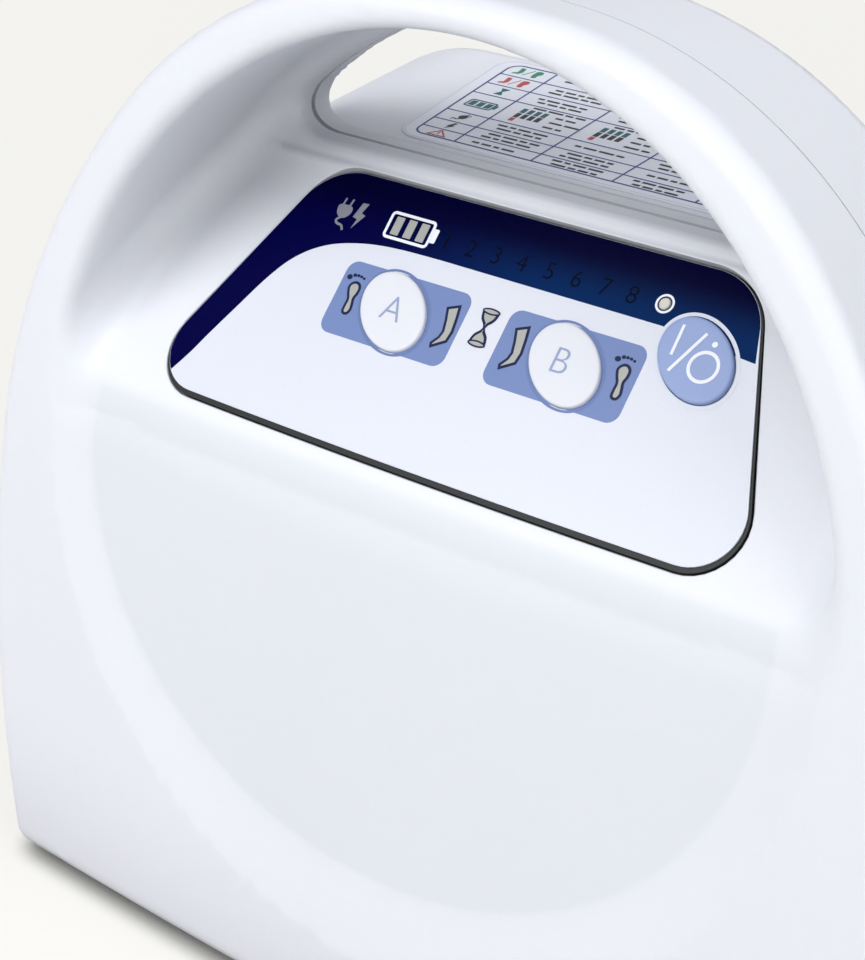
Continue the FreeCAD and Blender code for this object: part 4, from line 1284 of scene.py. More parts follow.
    def cut_front(self, piece: bpy.types.Object) -> None:
        """Cut the groove round the mouth, the pocket of the panel plate and the window under it.

        Args:
            piece: The front half.
        """
        edge = rounded(PLATE_EDGE)
        inner = grow(edge, self.plate_gap)
        full, fade, least = self.flare_share
        shares = [min(max(1 - (y - full) / fade, least), 1) for _, y in inner]
        levels = []
        for flare, height in self.pocket:
            wide = grow(edge, self.plate_gap + flare)
            levels.append(([(a[0] + (b[0] - a[0]) * share, a[1] + (b[1] - a[1]) * share)
                            for a, b, share in zip(inner, wide, shares)], height))
        margin, *ends = self.groove
        inset, *heights = self.window
        carve(piece, [prism("groove", grow(self.form.mouth_rim(), margin), *ends, WALL_PLACE),
                      loft("pocket", levels, PANEL_PLACE),
                      prism("window", grow(rounded(PANEL_EDGE), -inset), *heights, PANEL_PLACE)])

    def cut_rear(self, piece: bpy.types.Object) -> None:
        """Cut the hook bay, the screw wells, the ports and the mains inlet, the first two with walls of their own.

        Args:
            piece: The rear half.
        """
        outside, skin = -60.0, -54.8
        radius, wall = self.well
        carve(piece, [prism(name, rectangle(*box), *ends, WALL_PLACE) for name, box, ends in self.walls]
              + [prism("well_wall", oval(spot, (wall, wall), 0, 32), skin, self.well_ends[1], WALL_PLACE)
                 for spot in SCREW_WELLS], "UNION")
        carve(piece, [prism(name, rectangle(*box), outside, end, WALL_PLACE) for name, box, end in self.cuts]
              + [prism("well", oval(spot, (radius, radius), 0, 32), outside, self.well_ends[0], WALL_PLACE)
                 for spot in SCREW_WELLS])

    def true_normals(self, piece: bpy.types.Object) -> None:
        """Shade the skin by the form itself, and the cut faces flat.

        Args:
            piece: One of the halves.
        """
        mesh = piece.data
        mesh.polygons.foreach_set("use_smooth", [True] * len(mesh.polygons))
        places = np.empty(len(mesh.vertices) * 3)
        mesh.vertices.foreach_get("co", places)
        places = places.reshape(-1, 3) / MM
        corner = np.empty(len(mesh.loops), dtype=np.int32)
        mesh.loops.foreach_get("vertex_index", corner)
        counts = np.empty(len(mesh.polygons), dtype=np.int32)
        mesh.polygons.foreach_get("loop_total", counts)
        flat = np.empty(len(mesh.polygons) * 3)
        mesh.polygons.foreach_get("normal", flat)
        flat = np.repeat(flat.reshape(-1, 3), counts, axis=0)
        grown, near = self.form.slope(places), np.abs(self.form.shell(places)) < self.skin_reach
        on_skin = near[corner] & ((flat * grown[corner]).sum(1) > self.skin_turn)
        mesh.normals_split_custom_set(np.where(on_skin[:, None], grown[corner], flat).tolist())


# ---- sub-assemblies -----------------------------------------------------------------------------------------

@dataclass
class BedHook:
    """The swinging hook at the back, with its two barrels and its lip.

    Attributes:
        half: Half its width.
        arm: Width of an arm.
        low: Height of its lower edge.
        bar: Height of the cross bar's top.
        hinge: Y and height of the hinge's axis.
        thickness: Thickness of the plate.
        lip: Y where the lip ends.
        lip_half: Half the lip's width.
        corners: Radii of the plate's lower corners and of those over the cross bar.
        ribs: Places of the ribs under the lip along X.
        bore: Radius of the pin's bore.
        edge: Width of the round of its edges.
    """

    half: float = 46.5
    arm: float = 12.5
    low: float = 54.0
    bar: float = 68.0
    hinge: Point = (52.5, 128.0)
    thickness: float = 6.0
    lip: float = 38.0
    lip_half: float = 40.0
    corners: Point = (7.0, 6.0)
    ribs: tuple[float, ...] = (-24.0, 0.0, 24.0)
    bore: float = 1.58
    edge: float = 0.9

    def build(self) -> None:
        """Build the hook as one piece."""
        (middle, top), (outer, inside), inner = self.hinge, self.corners, self.half - self.arm
        front, back = middle - self.thickness / 2, middle + self.thickness / 2
        outline = rounded([(-self.half, self.low, outer), (self.half, self.low, outer), (self.half, top, 0),
                           (inner, top, 0), (inner, self.bar, inside), (-inner, self.bar, inside),
                           (-inner, top, 0), (-self.half, top, 0)])
        piece = prism("bed_hook_moulding", outline, -back, -front, WALL_PLACE)
        bevel(piece, self.edge)
        lip = prism("lip", rectangle(-self.lip_half, self.low, self.lip_half, self.low + self.thickness),
                    -front - 1, -self.lip, WALL_PLACE)
        bevel(lip, self.edge)
        parts = [lip]
        for x in (-self.half, inner):
            parts.append(rod("barrel", (x, middle, top), (x + self.arm, middle, top), self.thickness / 2))
        for x in self.ribs:
            parts.append(prism("rib", rectangle(x - 1, self.low + 5, x + 1, self.low + 7), -front - 1, -front + 4,
                               WALL_PLACE))
        carve(piece, parts, "UNION")
        carve(piece, [rod("bore", (-60, middle, top), (60, middle, top), self.bore)])
        soften(piece, 35)
        dress(piece, HOOK_NYLON)
        mount(piece, Body.BED_HOOK)
        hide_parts("bed_hook")


@dataclass
class RearFittings:
    """Barbed air nipples and recessed-head screws at the back.

    Attributes:
        nipples: Places of the six nipples along X.
        row: Their height.
        barb: Points of a nipple's profile from its tip to its root, as radius and place on the wall's third direction.
        seat: How far in front of the case's middle the screw heads sit.
        head: Radius and height of a screw head.
        shank: Radius and end of a screw's shank.
        slot: Half length and half width of the cross recess, and its depth.
    """

    nipples: tuple[float, ...] = (-58.5, -50.5, -42.5, -29.5, -21.5, -13.5)
    row: float = 27.0
    barb: tuple[Point, ...] = ((1.4, -53.5), (1.75, -53.5), (1.9, -53.3), (2.4, -51.4), (2.4, -51.2), (2.0, -51.1),
                               (2.0, -49.6), (2.4, -48.3), (2.4, -48.1), (2.05, -48.0), (2.05, -43.0), (1.4, -43.0))
    seat: float = 12.2
    head: Point = (3.1, 2.2)
    shank: Point = (1.6, 24.0)
    slot: Spot = (1.9, 0.45, 1.1)

    def build(self) -> None:
        """Build both groups, each as one piece."""
        self.barbs()
        self.screws()

    def barbs(self) -> None:
        """Six nipples with two barbs each."""
        piece = join([lathe("nipple", list(self.barb), WALL_PLACE @ Matrix.Translation((x, self.row, 0)))
                      for x in self.nipples], "air_nipples_barbed")
        soften(piece, 30)
        dress(piece, PLATED_BRASS)
        mount(piece, Body.CASE)
        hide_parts("air_nipples")

    def screws(self) -> None:
        """Four pan-head screws with a cross recess."""
        (radius, height), (thin, tip), (long, wide, depth) = self.head, self.shank, self.slot
        top, axis = self.seat - height, 0.01
        profile = [(axis, top), (radius - 1.0, top), (radius - 0.4, top + 0.15), (radius - 0.1, top + 0.5),
                   (radius, top + 1.0), (radius, self.seat), (thin, self.seat), (thin, tip), (axis, tip)]
        group = []
        for x, z in SCREW_WELLS:
            place = WALL_PLACE @ Matrix.Translation((x, z, 0))
            screw = lathe("screw", profile, place)
            carve(screw, [prism("recess", rectangle(-a, -b, a, b), top - 1, top + depth, place)
                          for a, b in ((long, wide), (wide, long))])
            group.append(screw)
        piece = join(group, "case_screws_recessed")
        soften(piece, 30)
        dress(piece, STEEL)
        mount(piece, Body.CASE)
        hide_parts("case_screws")


@dataclass
class ControlPanel:
    """The tilted panel: film, print, windows and the three keys.

    Attributes:
        film: Height of the film's face over the panel plane.
        layer: Thickness of a layer of ink.
        block: Near and far end, half height and corner radius of the pale blocks behind keys A and B.
        line: Width of the dark outlines round the windows.
        key_half: Half axes of the keys.
        key_turn: Direction of the long axis of each key in degrees.
        key_top: Height of the middle of a key.
        key_rings: How far a key's outline grows, and at what height, from its flange up to its face.
        stem: Half width of a key's stem, and its two heights.
        keys: The keys with the places of their middles.
        key_gap: Gap between a key and its hole.
        lamp: Place of the status light.
        lamp_radius: Radius of its hole.
        plate: Heights of the dark plate's underside and top.
    """

    film: float = 0.4
    layer: float = 0.02
    block: tuple[float, float, float, float] = (4.15, 31.6, 7.03, 2.2)
    line: float = 0.52
    key_half: Point = (8.25, 6.0)
    key_turn: float = 141.0
    key_top: float = 1.3
    key_rings: tuple[Point, ...] = (
        (0.85, -2.85), (0.85, -1.85), (0.0, -1.8), (0.0, -0.6), (0.0, 0.85), (-0.03, 1.0), (-0.12, 1.12),
        (-0.28, 1.2), (-0.5, 1.23), (-1.5, 1.24), (-3.4, 1.25), (-4.8, 1.25), (-5.6, 1.25))
    stem: Spot = (2.0, -5.05, -2.85)
    keys: tuple[tuple[Body, Point], ...] = (
        (Body.KEY_A, (-18.06, 0.0)), (Body.KEY_B, (18.28, 0.0)), (Body.KEY_POWER, (40.1, 7.2)))
    key_gap: float = 0.15
    lamp: Point = (30.28, 14.93)
    lamp_radius: float = 1.32
    plate: Point = (-1.5, 0.1)

    def build(self) -> None:
        """Build all that the panel carries."""
        self.plate_and_film()
        self.navy_band()
        self.key_blocks()
        self.battery()
        self.supply_signs()
        self.digits()
        self.windows()
        for body, centre in self.keys:
            self.key(body, centre)
        self.letters_on_keys()
        self.power_sign()

    def ink(self, name: str, outlines: list[Loop], finish: Finish, level: int) -> None:
        """Print one layer of ink on the film, over the layers with lower levels."""
        piece = print_on(name, outlines, self.film + self.layer * level, finish, PANEL_PLACE, self.layer)
        mount(piece, Body.CASE)

    def window(self, name: str, loop: Loop) -> None:
        """A smoked window with a dark outline round it."""
        self.ink(name + "_outline", [loop], INK_NAVY, 2)
        self.ink(name + "_window", [grow(loop, -self.line)], WINDOW_GREY, 3)

    def oval_at(self, centre: Point, extra: float) -> Loop:
        """An oval round a key, larger than it by some millimetres."""
        long_half, short_half = self.key_half
        return oval(centre, (long_half + extra, short_half + extra), self.key_turn, 72)

    def plate_and_film(self) -> None:
        """The dark plate and the white film on it, both with the holes of the keys and the status light."""
        under, over = self.plate
        for name, edge, low, high, finish, slot, node in (
                ("panel_plate_moulding", PLATE_EDGE, under, over, PLATE_PC, "panel_plate", "panel_plate"),
                ("panel_film", PANEL_EDGE, over, self.film, FILM_WHITE, "overlay_print", "panel_overlay")):
            piece = prism(name, rounded(edge, 14), low, high, PANEL_PLACE)
            holes = [self.oval_at(centre, self.key_gap) for _, centre in self.keys]
            holes.append(oval(self.lamp, (self.lamp_radius, self.lamp_radius), 0, 32))
            carve(piece, [prism("hole", loop, -5, 5, PANEL_PLACE) for loop in holes])
            soften(piece, 20)
            dress(piece, finish)
            mount(piece, Body.CASE)
            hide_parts(node)

    def navy_band(self) -> None:
        """The navy field across the top, with the white rim that it leaves round the power key.

        Its outline follows the film's edge from the lower left corner round the top to the right, then runs back
        below the digits and down a long curve to the corner.
        """
        edge = grow(rounded(PANEL_EDGE, 14), -0.05)
        top = [p for p in edge if p[1] > 9.9]
        start = min(range(len(top)), key=lambda i: (top[i][0] > 0, top[i][1]))
        top = top[start:] + top[:start]
        if top[1][1] < top[0][1] or top[1][0] > 40:
            top = [top[0]] + top[1:][::-1]
        corner = [p for p in edge if p[0] < -57.3 and p[1] < 0 and p[1] > -22.4]
        corner.sort(key=lambda p: p[1])
        sweep = curve_through([(-57.5, -22.5), (-55.2, -18.1), (-53.5, -14.2), (-50.4, -7.6), (-47.6, -1.7),
                               (-45.0, 2.6), (-42.5, 5.3), (-39.9, 7.2), (-36.6, 8.8), (-32.4, 10.0),
                               (-27.6, 10.8), (-22.0, 11.2), (-14.0, 11.35)], False)
        lower = [(31.6, 11.2), (47.2, 9.7), (49.9, 9.5)]
        self.ink("navy_field", [corner + top + lower[::-1] + sweep[::-1]], BAND_INK, 0)
        self.ink("power_key_rim", [self.oval_at(self.keys[2][1], 0.95), self.oval_at(self.keys[2][1], 0.3)],
                 FILM_WHITE, 1)

    def key_blocks(self) -> None:
        """The pale blue blocks behind keys A and B, and the thin blue rims of the keys."""
        near, far, half, radius = self.block
        loops = [rectangle(sign * near, -half, sign * far, half, radius) for sign in (-1, 1)]
        self.ink("key_fields", loops, FILM_BLUE, 0)
        rims = [loop for _, centre in self.keys[:2]
                for loop in (self.oval_at(centre, 0.75), self.oval_at(centre, 0.3))]
        self.ink("key_rims", rims, FILM_BLUE_DEEP, 1)

    def battery(self) -> None:
        """The battery sign: a white outline with its terminal and three windows."""
        outer = rectangle(-28.1, 12.5, -18.1, 17.8, 0.9)
        knob = rectangle(-18.2, 13.8, -17.0, 16.5, 0.3)
        self.ink("battery_outline", [outer, grow(outer, -0.55)], WHITE_INK, 1)
        self.ink("battery_terminal", [knob], WHITE_INK, 1)
        self.ink("battery_windows", [rectangle(x, 13.4, x + 1.75, 16.9, 0.15) for x in (-26.7, -23.9, -21.1)],
                 WINDOW_GREY, 1)

    def supply_signs(self) -> None:
        """The plug and the flash of lightning."""
        plug = curve_through([(-39.7, 16.1), (-38.2, 16.4), (-36.7, 16.1), (-36.6, 14.9), (-37.5, 13.9),
                              (-38.6, 13.8), (-39.6, 14.7)])
        prongs = [stroke([(-39.0, 16.0), (-38.8, 17.6)], 0.42), stroke([(-37.5, 16.1), (-37.2, 17.7)], 0.42)]
        cord = stroke(curve_through([(-38.1, 14.0), (-38.9, 13.2), (-38.4, 12.6), (-37.3, 12.4), (-36.7, 11.6)],
                                    False), 0.45)
        self.ink("plug_sign", [plug], SIGN_GREY, 1)
        self.ink("plug_cord", [cord] + prongs, SIGN_GREY, 2)
        self.ink("lightning_sign", [[(-35.0, 17.5), (-33.6, 17.6), (-34.3, 15.6), (-33.3, 15.3), (-35.1, 12.3),
                                     (-34.7, 14.3), (-35.8, 14.5)]], SIGN_GREY, 1)

    def digits(self) -> None:
        """The row of unlit digits and the rim of the status light."""
        for i, x in enumerate((-14.7, -9.3, -3.9, 1.5, 7.3, 12.9, 18.6, 24.0)):
            piece = letters(f"digit_{i + 1}", str(i + 1), (x, 14.9), 3.3, self.film + self.layer, SMOKE_INK,
                            PANEL_PLACE, 0.05)
            mount(piece, Body.CASE)
        rims = [oval(self.lamp, (radius, radius)) for radius in (self.lamp_radius + 0.4, self.lamp_radius)]
        self.ink("status_rim", rims, WHITE_INK, 1)

    def windows(self) -> None:
        """The feet, the legs and the hourglass."""
        foot = curve_through([(27.35, 2.1), (27.8, 3.0), (28.7, 3.4), (29.6, 3.1), (30.1, 2.3), (30.1, 1.2),
                              (29.85, 0.2), (30.1, -0.8), (30.3, -1.9), (29.9, -2.85), (29.1, -3.1),
                              (28.4, -2.6), (28.3, -1.4), (28.3, -0.2), (27.75, 0.9)])
        toes = ((26.75, 3.8, 0.58), (27.65, 4.35, 0.4), (28.4, 4.45, 0.34), (29.1, 4.4, 0.31), (29.8, 4.2, 0.29))
        leg = [(6.1, 3.7), (8.75, 4.8), (9.3, 2.2), (9.65, -0.3), (9.35, -2.3), (6.5, -4.1), (6.15, -3.1),
               (7.15, -1.7), (7.4, -0.6), (6.9, 1.4)]
        for label, far, near in (("b", 0.0, 0.0), ("a", -57.0, -14.6)):
            self.window(f"foot_{label}", [(x + far, y) for x, y in foot])
            self.window(f"leg_{label}", [(x + near, y) for x, y in leg])
            self.ink(f"toes_{label}", [oval((x + far, y), (r, r * 0.85), 0, 14) for x, y, r in toes], INK_NAVY, 2)
        self.hourglass((0.35, 2.1))

    def hourglass(self, centre: Point) -> None:
        """The hourglass between the two blocks: two bulbs, each with a window, and two rims.

        Args:
            centre: Where its neck lies.
        """
        x0, y0 = centre
        half, high, neck = 1.75, 3.05, 0.24
        for sign, label in ((1, "upper"), (-1, "lower")):
            side = curve_through([(neck, 0), (0.55, 0.6), (1.3, 1.4), (half - 0.1, 2.3), (half, high)], False)
            loop = [(x0 + x, y0 + sign * y) for x, y in side]
            loop += [(x0 - x, y0 + sign * y) for x, y in side[::-1]]
            self.window(f"hourglass_{label}", loop)
            rim = oval((x0, y0 + sign * high), (half + 0.1, 0.62), 0, 32)
            self.ink(f"hourglass_{label}_rim", [rim, grow(rim, -0.3)], INK_NAVY, 4)
            self.ink(f"hourglass_{label}_lid", [grow(rim, -0.3)], WINDOW_GREY, 4)

    def key(self, body: Body, centre: Point) -> None:
        """One oval key: a low dome with a soft edge, its flange under the plate and its stem.

        Args:
            body: The body that it moves as.
            centre: The place of its middle.
        """
        levels = [(self.oval_at(centre, extra), height) for extra, height in self.key_rings]
        (x, y), (half, *heights) = centre, self.stem
        stem = prism("stem", rectangle(x - half, y - half, x + half, y + half), *heights, PANEL_PLACE)
        piece = join([loft("cap", levels, PANEL_PLACE), stem], body.value + "_cap")
        soften(piece, 35)
        power = body is Body.KEY_POWER
        dress(piece, KEY_BLUE if power else KEY_WHITE)
        mount(piece, body)
        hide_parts(body.value)

    def letters_on_keys(self) -> None:
        """The letters A and B."""
        for word, centre, body in (("A", (-18.0, 0.4), Body.KEY_A), ("B", (17.7, 0.4), Body.KEY_B)):
            mount(letters(f"letter_{word}", word, centre, 4.9, self.key_top - 0.05, KEY_INK, PANEL_PLACE, 0.12, 0.07),
                  body)

    def power_sign(self) -> None:
        """The on and off sign of the power key."""
        low, thick = self.key_top - 0.09, 0.12
        ring = [oval((42.2, 6.3), (2.85, 2.85)), oval((42.2, 6.3), (2.25, 2.25))]
        loops = [stroke([(35.85, 6.8), (35.8, 12.2)], 0.55), stroke([(36.6, 4.1), (40.3, 11.8)], 0.55),
                 oval((42.4, 10.4), (0.5, 0.5), 0, 20)]
        for name, outlines in (("power_sign_strokes", loops), ("power_sign_ring", ring)):
            piece = print_on(name, outlines, low, WHITE_INK, PANEL_PLACE, thick)
            mount(piece, Body.KEY_POWER)


@dataclass
class ChartLabel:
    """The printed chart on the rear deck: a blue grid with small signs and rows of short lines.

    Attributes:
        sheet: Thickness of the label.
        layer: Thickness of a layer of ink.
        rows: Y of the horizontal lines in the deck's plane.
        columns: X at which the vertical lines start at the front edge.
        spread: How much the chart widens from its front edge to its rear edge.
        bar_row: Number of the row with the charge bars.
        charge: Finish of the bars in that row, with their lower and upper ends from the row's middle.
    """

    sheet: float = 0.25
    layer: float = 0.02
    rows: tuple[float, ...] = (12.2, 15.8, 19.7, 24.2, 33.4, 38.4, 43.4, 48.8)
    columns: tuple[float, ...] = (-40.4, -30.6, -13.4, 4.0, 21.0, 40.4)
    spread: float = 0.10
    bar_row: int = 3
    charge: tuple[tuple[Finish, float, float], ...] = (
        (LABEL_TEAL, 0.6, 2.6), (LABEL_DARK, -1.7, 0.3), (LABEL_RED, -3.4, -2.0))

    def build(self) -> None:
        """Build the sheet and its print."""
        self.paper()
        self.grid()
        self.signs()
        self.lines()

    def at(self, x: float, y: float) -> Point:
        """A point of the chart, which widens towards the back."""
        return x * (1 + self.spread * (y - 11) / 38), y

    def ink(self, name: str, outlines: list[Loop], finish: Finish, level: int = 0) -> None:
        """Print one layer of ink on the sheet, over the layers with lower levels."""
        piece = print_on(name, outlines, self.sheet + self.layer * level, finish, DECK_PLACE, self.layer)
        mount(piece, Body.CASE)

    def paper(self) -> None:
        """The white sheet."""
        loop = rounded([(*self.at(-43.2, 10.4), 5), (*self.at(43.2, 10.4), 5), (*self.at(43.2, 50.6), 4),
                        (*self.at(-43.2, 50.6), 4)], 10)
        piece = prism("chart_sheet", loop, 0.02, self.sheet, DECK_PLACE)
        dress(piece, LABEL_FILM)
        mount(piece, Body.CASE)
        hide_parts("chart_label")
        self.ink("chart_edge_line", [grow(loop, -0.3), grow(loop, -0.45)], LABEL_EDGE)

    def grid(self) -> None:
        """The blue frame and its lines."""
        low, high = self.rows[0], self.rows[-1]
        left, right = self.columns[0], self.columns[-1]
        frame_loop = rounded([(*self.at(left, low), 2.6), (*self.at(right, low), 2.6), (*self.at(right, high), 2.6),
                              (*self.at(left, high), 2.6)], 8)
        self.ink("chart_frame", [frame_loop, grow(frame_loop, -0.38)], LABEL_BLUE, 1)
        rules = [stroke([self.at(left + 0.2, y), self.at(right - 0.2, y)], 0.3) for y in self.rows[1:-1]]
        self.ink("chart_rules", rules, LABEL_BLUE, 1)
        uprights = [stroke([self.at(x, low + 0.2), self.at(x, high - 0.2)], 0.3) for x in self.columns[1:-1]]
        self.ink("chart_columns", uprights, LABEL_BLUE, 2)

    def signs(self) -> None:
        """The small signs of the left column."""
        x = sum(self.columns[:2]) / 2 + 0.2
        y = [(a + b) / 2 for a, b in zip(self.rows, self.rows[1:])]
        triangle = [self.at(x - 2.3, y[0] - 1.2), self.at(x + 2.3, y[0] - 1.2), self.at(x, y[0] + 1.5)]
        self.ink("chart_warning", [triangle, grow(triangle, -0.32)], LABEL_RED, 1)
        self.ink("chart_warning_bar", [stroke([self.at(x, y[0] - 0.5), self.at(x, y[0] + 0.7)], 0.26)], LABEL_RED, 1)
        x1, y1 = self.at(x, y[1])
        bolt = [(0.2, 1.4), (0.9, 1.4), (0.45, 0.25), (0.95, 0.15), (-0.4, -1.4), (-0.05, -0.25), (-0.6, -0.25)]
        self.ink("chart_lightning", [[(x1 + a, y1 + b) for a, b in bolt]], LABEL_DARK, 1)
        x2, y2 = self.at(x, y[2])
        plug = [(-0.9, 0.5), (0.3, 1.3), (0.9, 0.4), (0.5, -0.5), (-0.4, -0.6)]
        self.ink("chart_plug", [curve_through([(x2 + a, y2 + b) for a, b in plug])], LABEL_DARK, 1)
        cord = curve_through([(x2 - 0.1, y2 - 0.6), (x2 - 0.7, y2 - 1.0), (x2 - 1.3, y2 - 0.8), (x2 - 1.8, y2 - 1.3)],
                             False)
        prongs = [stroke([(x2 + 0.2, y2 + 1.1), (x2 + 0.6, y2 + 1.8)], 0.22),
                  stroke([(x2 + 0.8, y2 + 0.7), (x2 + 1.3, y2 + 1.3)], 0.22)]
        self.ink("chart_plug_cord", [stroke(cord, 0.24)] + prongs, LABEL_DARK, 2)
        x3, y3 = self.at(x, y[3])
        case = rectangle(x3 - 3.4, y3 - 1.7, x3 + 2.9, y3 + 1.7, 0.6)
        self.ink("chart_battery", [case, grow(case, -0.4)], LABEL_TEAL, 1)
        self.ink("chart_battery_cells", [rectangle(x3 + a, y3 - 1.0, x3 + a + 1.3, y3 + 1.0) for a in
                                         (-2.7, -0.9, 0.9)] + [rectangle(x3 + 2.95, y3 - 0.8, x3 + 3.5, y3 + 0.8)],
                 LABEL_TEAL, 1)
        x4, y4 = self.at(x, y[4])
        glass = [(-1.0, 1.5), (1.0, 1.5), (0.15, 0), (1.0, -1.5), (-1.0, -1.5), (-0.15, 0)]
        self.ink("chart_hourglass", [[(x4 + a, y4 + b) for a, b in glass]], LABEL_TEAL, 1)
        for row, finish, name in ((5, LABEL_RED, "red"), (6, LABEL_GREEN, "green")):
            x5, y5 = self.at(x, y[row])
            leg = [(-2.9, 1.6), (-1.9, 1.6), (-1.5, -0.2), (-1.9, -1.2), (-3.4, -1.5), (-3.3, -1.0), (-2.5, -0.5)]
            foot = curve_through([(x5 + a, y5 + b) for a, b in
                                  ((1.0, 1.5), (2.2, 1.6), (2.6, 0.6), (2.1, -0.3), (2.2, -1.3), (1.4, -1.6),
                                   (1.0, -0.7), (0.9, 0.4))])
            self.ink(f"chart_limbs_{name}", [[(x5 + a, y5 + b) for a, b in leg], foot,
                                             stroke([(x5 - 0.9, y5 - 1.4), (x5 + 0.3, y5 + 1.5)], 0.22)], finish, 1)

    def lines(self) -> None:
        """Short generic lines in every cell, and the coloured charge bars in the battery row."""
        dark: list[Loop] = []
        bars: dict[Finish, list[Loop]] = {finish: [] for finish, _, _ in self.charge}
        for c, (left, right) in enumerate(zip(self.columns[1:], self.columns[2:])):
            middle = (left + right) / 2
            for r, (low, high) in enumerate(zip(self.rows, self.rows[1:])):
                y = (low + high) / 2
                if r == self.bar_row:
                    for k in range(4):
                        x = middle - 5.4 + 1.5 * k
                        for finish, y0, y1 in self.charge:
                            if finish is not LABEL_RED or k == 0:
                                bars[finish].append([self.at(x, y + y0), self.at(x + 1.0, y + y0),
                                                     self.at(x + 1.0, y + y1), self.at(x, y + y1)])
                    dark += self.words(middle - 4.0, y + 3.6, 4, c + 1)
                    for k, dy in enumerate((1.6, -0.6, -2.8)):
                        dark += self.words(middle + 2.0, y + dy, 2, c + k)
                    continue
                for k, dy in enumerate((0.75, -0.75) if (r + c) % 3 else (0.0,)):
                    dark += self.words(middle - 5.6 + 0.7 * ((r + k) % 2), y + dy, 4, r + 2 * c + k)
        self.ink("chart_lines", dark, LABEL_DARK, 1)
        for finish, loops in bars.items():
            self.ink("chart_bars_" + finish.name.split("_")[0], loops, finish, 1)

    def words(self, x: float, y: float, count: int, seed: int) -> list[Loop]:
        """A broken line of small bars, in place of a line of words.

        Args:
            x: Where the line starts.
            y: Height of its middle.
            count: Number of bars.
            seed: Number that picks their lengths.

        Returns:
            The outlines of the bars.
        """
        lengths, gap, half = (1.6, 2.7, 2.1, 3.1, 1.3), 0.55, 0.3
        loops: list[Loop] = []
        for k in range(count):
            length = lengths[(seed + 2 * k) % len(lengths)]
            loops.append([self.at(x, y - half), self.at(x + length, y - half), self.at(x + length, y + half),
                          self.at(x, y + half)])
            x += length + gap
        return loops


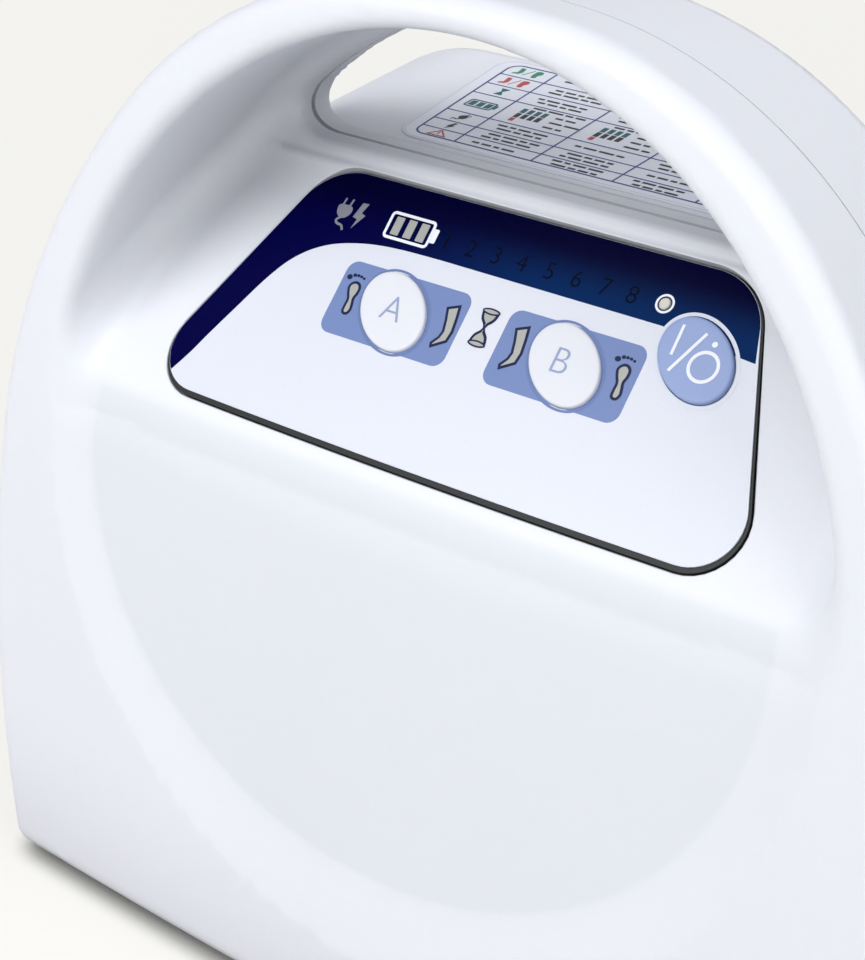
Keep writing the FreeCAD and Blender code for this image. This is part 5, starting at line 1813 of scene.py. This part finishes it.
@dataclass
class Studio:
    """Pale floor, soft lamps and the camera.

    Attributes:
        eye: Place of the camera in millimetres.
        right: The camera's right.
        back: The way from the object to the camera.
        lens: Focal length in millimetres.
        floor_size: Width of the floor in metres.
        floor_colour: The sRGB colour of the floor and the backdrop.
        floor_paint: The sRGB colour that the floor throws back onto the object.
        plain_share: Share of the floor that is seen as its plain colour, near the object and far off.
        plain_level: Strength of that colour near the object and far off.
        plain_reach: Distances in metres between which both change.
        contact: Reach in metres of the painted contact shadow, a dark line where something stands on the floor.
        sky: Strength of the light at the horizon and from above.
        sky_colour: The sRGB colour of that light.
        lamps_at: Each lamp's name, place in metres and power in watts.
        lamp_size: Width of a lamp in metres.
        aim: Height in metres that the lamps point at.
    """

    eye: Spot = (216.55, -302.71, 280.62)
    right: Spot = (0.7806, 0.6251, 0.0)
    back: Spot = (0.5578, -0.6966, 0.4512)
    lens: float = 86.30
    floor_size: float = 30.0
    floor_colour: str = "#f6f5f1"
    floor_paint: str = "#d9d8d4"
    plain_share: Point = (0.6, 1.0)
    plain_level: Point = (1.2, 1.0)
    plain_reach: Point = (0.4, 1.6)
    contact: float = 0.006
    sky: Point = (0.24, 0.6)
    sky_colour: str = "#f4f6fb"
    lamps_at: tuple[tuple[str, Spot, float], ...] = (
        ("key", (-0.5, -1.1, 1.15), 16.2), ("fill", (1.4, -0.3, 0.8), 11.5))
    lamp_size: float = 1.1
    aim: float = 0.1

    def build(self) -> None:
        """Build the whole studio."""
        self.camera()
        self.floor()
        self.world()
        self.lamps()

    def camera(self) -> None:
        """The camera at the viewing angle of the scene."""
        data = bpy.data.cameras.new("camera")
        data.lens = self.lens
        data.sensor_width = 36
        data.clip_start = 0.01
        data.clip_end = 20
        camera = add_piece("camera", data)
        right, back = Vector(self.right).normalized(), Vector(self.back).normalized()
        turn = Matrix((right, back.cross(right), back)).transposed()
        camera.matrix_world = Matrix.Translation(Vector(self.eye) * MM) @ turn.to_4x4()
        bpy.context.scene.camera = camera

    def floor(self) -> None:
        """A plain pale floor with the object's shadow and a painted contact shadow, running into the backdrop far off.
        """
        bpy.ops.mesh.primitive_plane_add(size=self.floor_size)
        floor = bpy.context.object
        floor.name = "studio_floor"
        material = blank_material("floor_painted_matt")
        tree = material.node_tree
        rays = add_node(tree, "LightPath")
        seen = add_node(tree, "Math", {"operation": "MAXIMUM"}, {
            0: rays.outputs["Is Camera Ray"], 1: rays.outputs["Is Glossy Ray"]})
        seen = add_node(tree, "Math", {"operation": "MAXIMUM"}, {
            0: seen.outputs[0], 1: rays.outputs["Is Transmission Ray"]})
        place = add_node(tree, "TexCoord").outputs["Object"]
        far = add_node(tree, "VectorMath", {"operation": "LENGTH"}, {0: place})
        plain, level = (add_node(tree, "MapRange", inputs={
            "Value": far.outputs["Value"], "From Min": self.plain_reach[0], "From Max": self.plain_reach[1],
            "To Min": ends[0], "To Max": ends[1]}) for ends in (self.plain_share, self.plain_level))
        share = add_node(tree, "Math", {"operation": "MULTIPLY"}, {
            0: seen.outputs[0], 1: plain.outputs["Result"]})
        matt = add_node(tree, "BsdfDiffuse", inputs={"Color": linear(self.floor_paint)})
        # painted shadow: the floor's glow is dimmed where an occlusion test finds something standing on it
        near = add_node(tree, "AmbientOcclusion", {"samples": 8}, {"Distance": self.contact})
        with_painted_shade = add_node(tree, "MapRange", inputs={
            "Value": near.outputs["AO"], "From Min": 0.35, "From Max": 0.8, "To Min": 0.0,
            "To Max": level.outputs["Result"]})
        glow = add_node(tree, "Emission", inputs={
            "Color": linear(self.floor_colour), "Strength": with_painted_shade.outputs["Result"]})
        mix = add_node(tree, "MixShader", inputs={
            "Fac": share.outputs[0], 1: matt.outputs[0], 2: glow.outputs[0]})
        add_node(tree, "OutputMaterial", inputs={"Surface": mix.outputs[0]})
        floor.data.materials.append(material)

    def world(self) -> None:
        """Slightly cool light from all round, stronger from above, and a white backdrop."""
        world = bpy.data.worlds.new("studio")
        bpy.context.scene.world = world
        world.use_nodes = True
        tree = world.node_tree
        tree.nodes.clear()
        rays = add_node(tree, "LightPath")
        way = add_node(tree, "SeparateXYZ", inputs={0: add_node(tree, "TexCoord").outputs["Generated"]})
        share = add_node(tree, "MapRange", inputs={
            "Value": way.outputs["Z"], "From Min": 0.0, "From Max": 1.0,
            "To Min": self.sky[0], "To Max": self.sky[1]})
        soft = add_node(tree, "Background", inputs={
            "Color": linear(self.sky_colour), "Strength": share.outputs["Result"]})
        plain = add_node(tree, "Background", inputs={"Color": linear(self.floor_colour), "Strength": 1.0})
        mix = add_node(tree, "MixShader", inputs={
            "Fac": rays.outputs["Is Camera Ray"], 1: soft.outputs[0], 2: plain.outputs[0]})
        add_node(tree, "OutputWorld", inputs={"Surface": mix.outputs[0]})

    def lamps(self) -> None:
        """Two soft boxes: one in front to the left, one to the right."""
        for name, place, power in self.lamps_at:
            data = bpy.data.lights.new(name + "_softbox", "AREA")
            data.size = self.lamp_size
            data.energy = power
            turn = (Vector(place) - Vector((0, 0, self.aim))).to_track_quat("Z", "Y")
            add_piece(data.name, data).matrix_world = Matrix.Translation(place) @ turn.to_matrix().to_4x4()


def dress_nodes() -> None:
    """Give every node of the frame its finish."""
    for finish, names in NODE_FINISHES.items():
        for name in names:
            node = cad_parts[name]
            node.data.materials.clear()
            node.data.materials.append(finish.make())
            for polygon in node.data.polygons:
                polygon.material_index = 0


def main() -> None:
    """Dress the nodes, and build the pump's visible pieces and the studio."""
    logging.basicConfig(level=logging.INFO, format="%(message)s")
    bpy.context.scene.view_settings.view_transform = "Standard"
    dress_nodes()
    Case().build()
    ControlPanel().build()
    ChartLabel().build()
    BedHook().build()
    RearFittings().build()
    Studio().build()


if __name__ == "__main__":
    main()
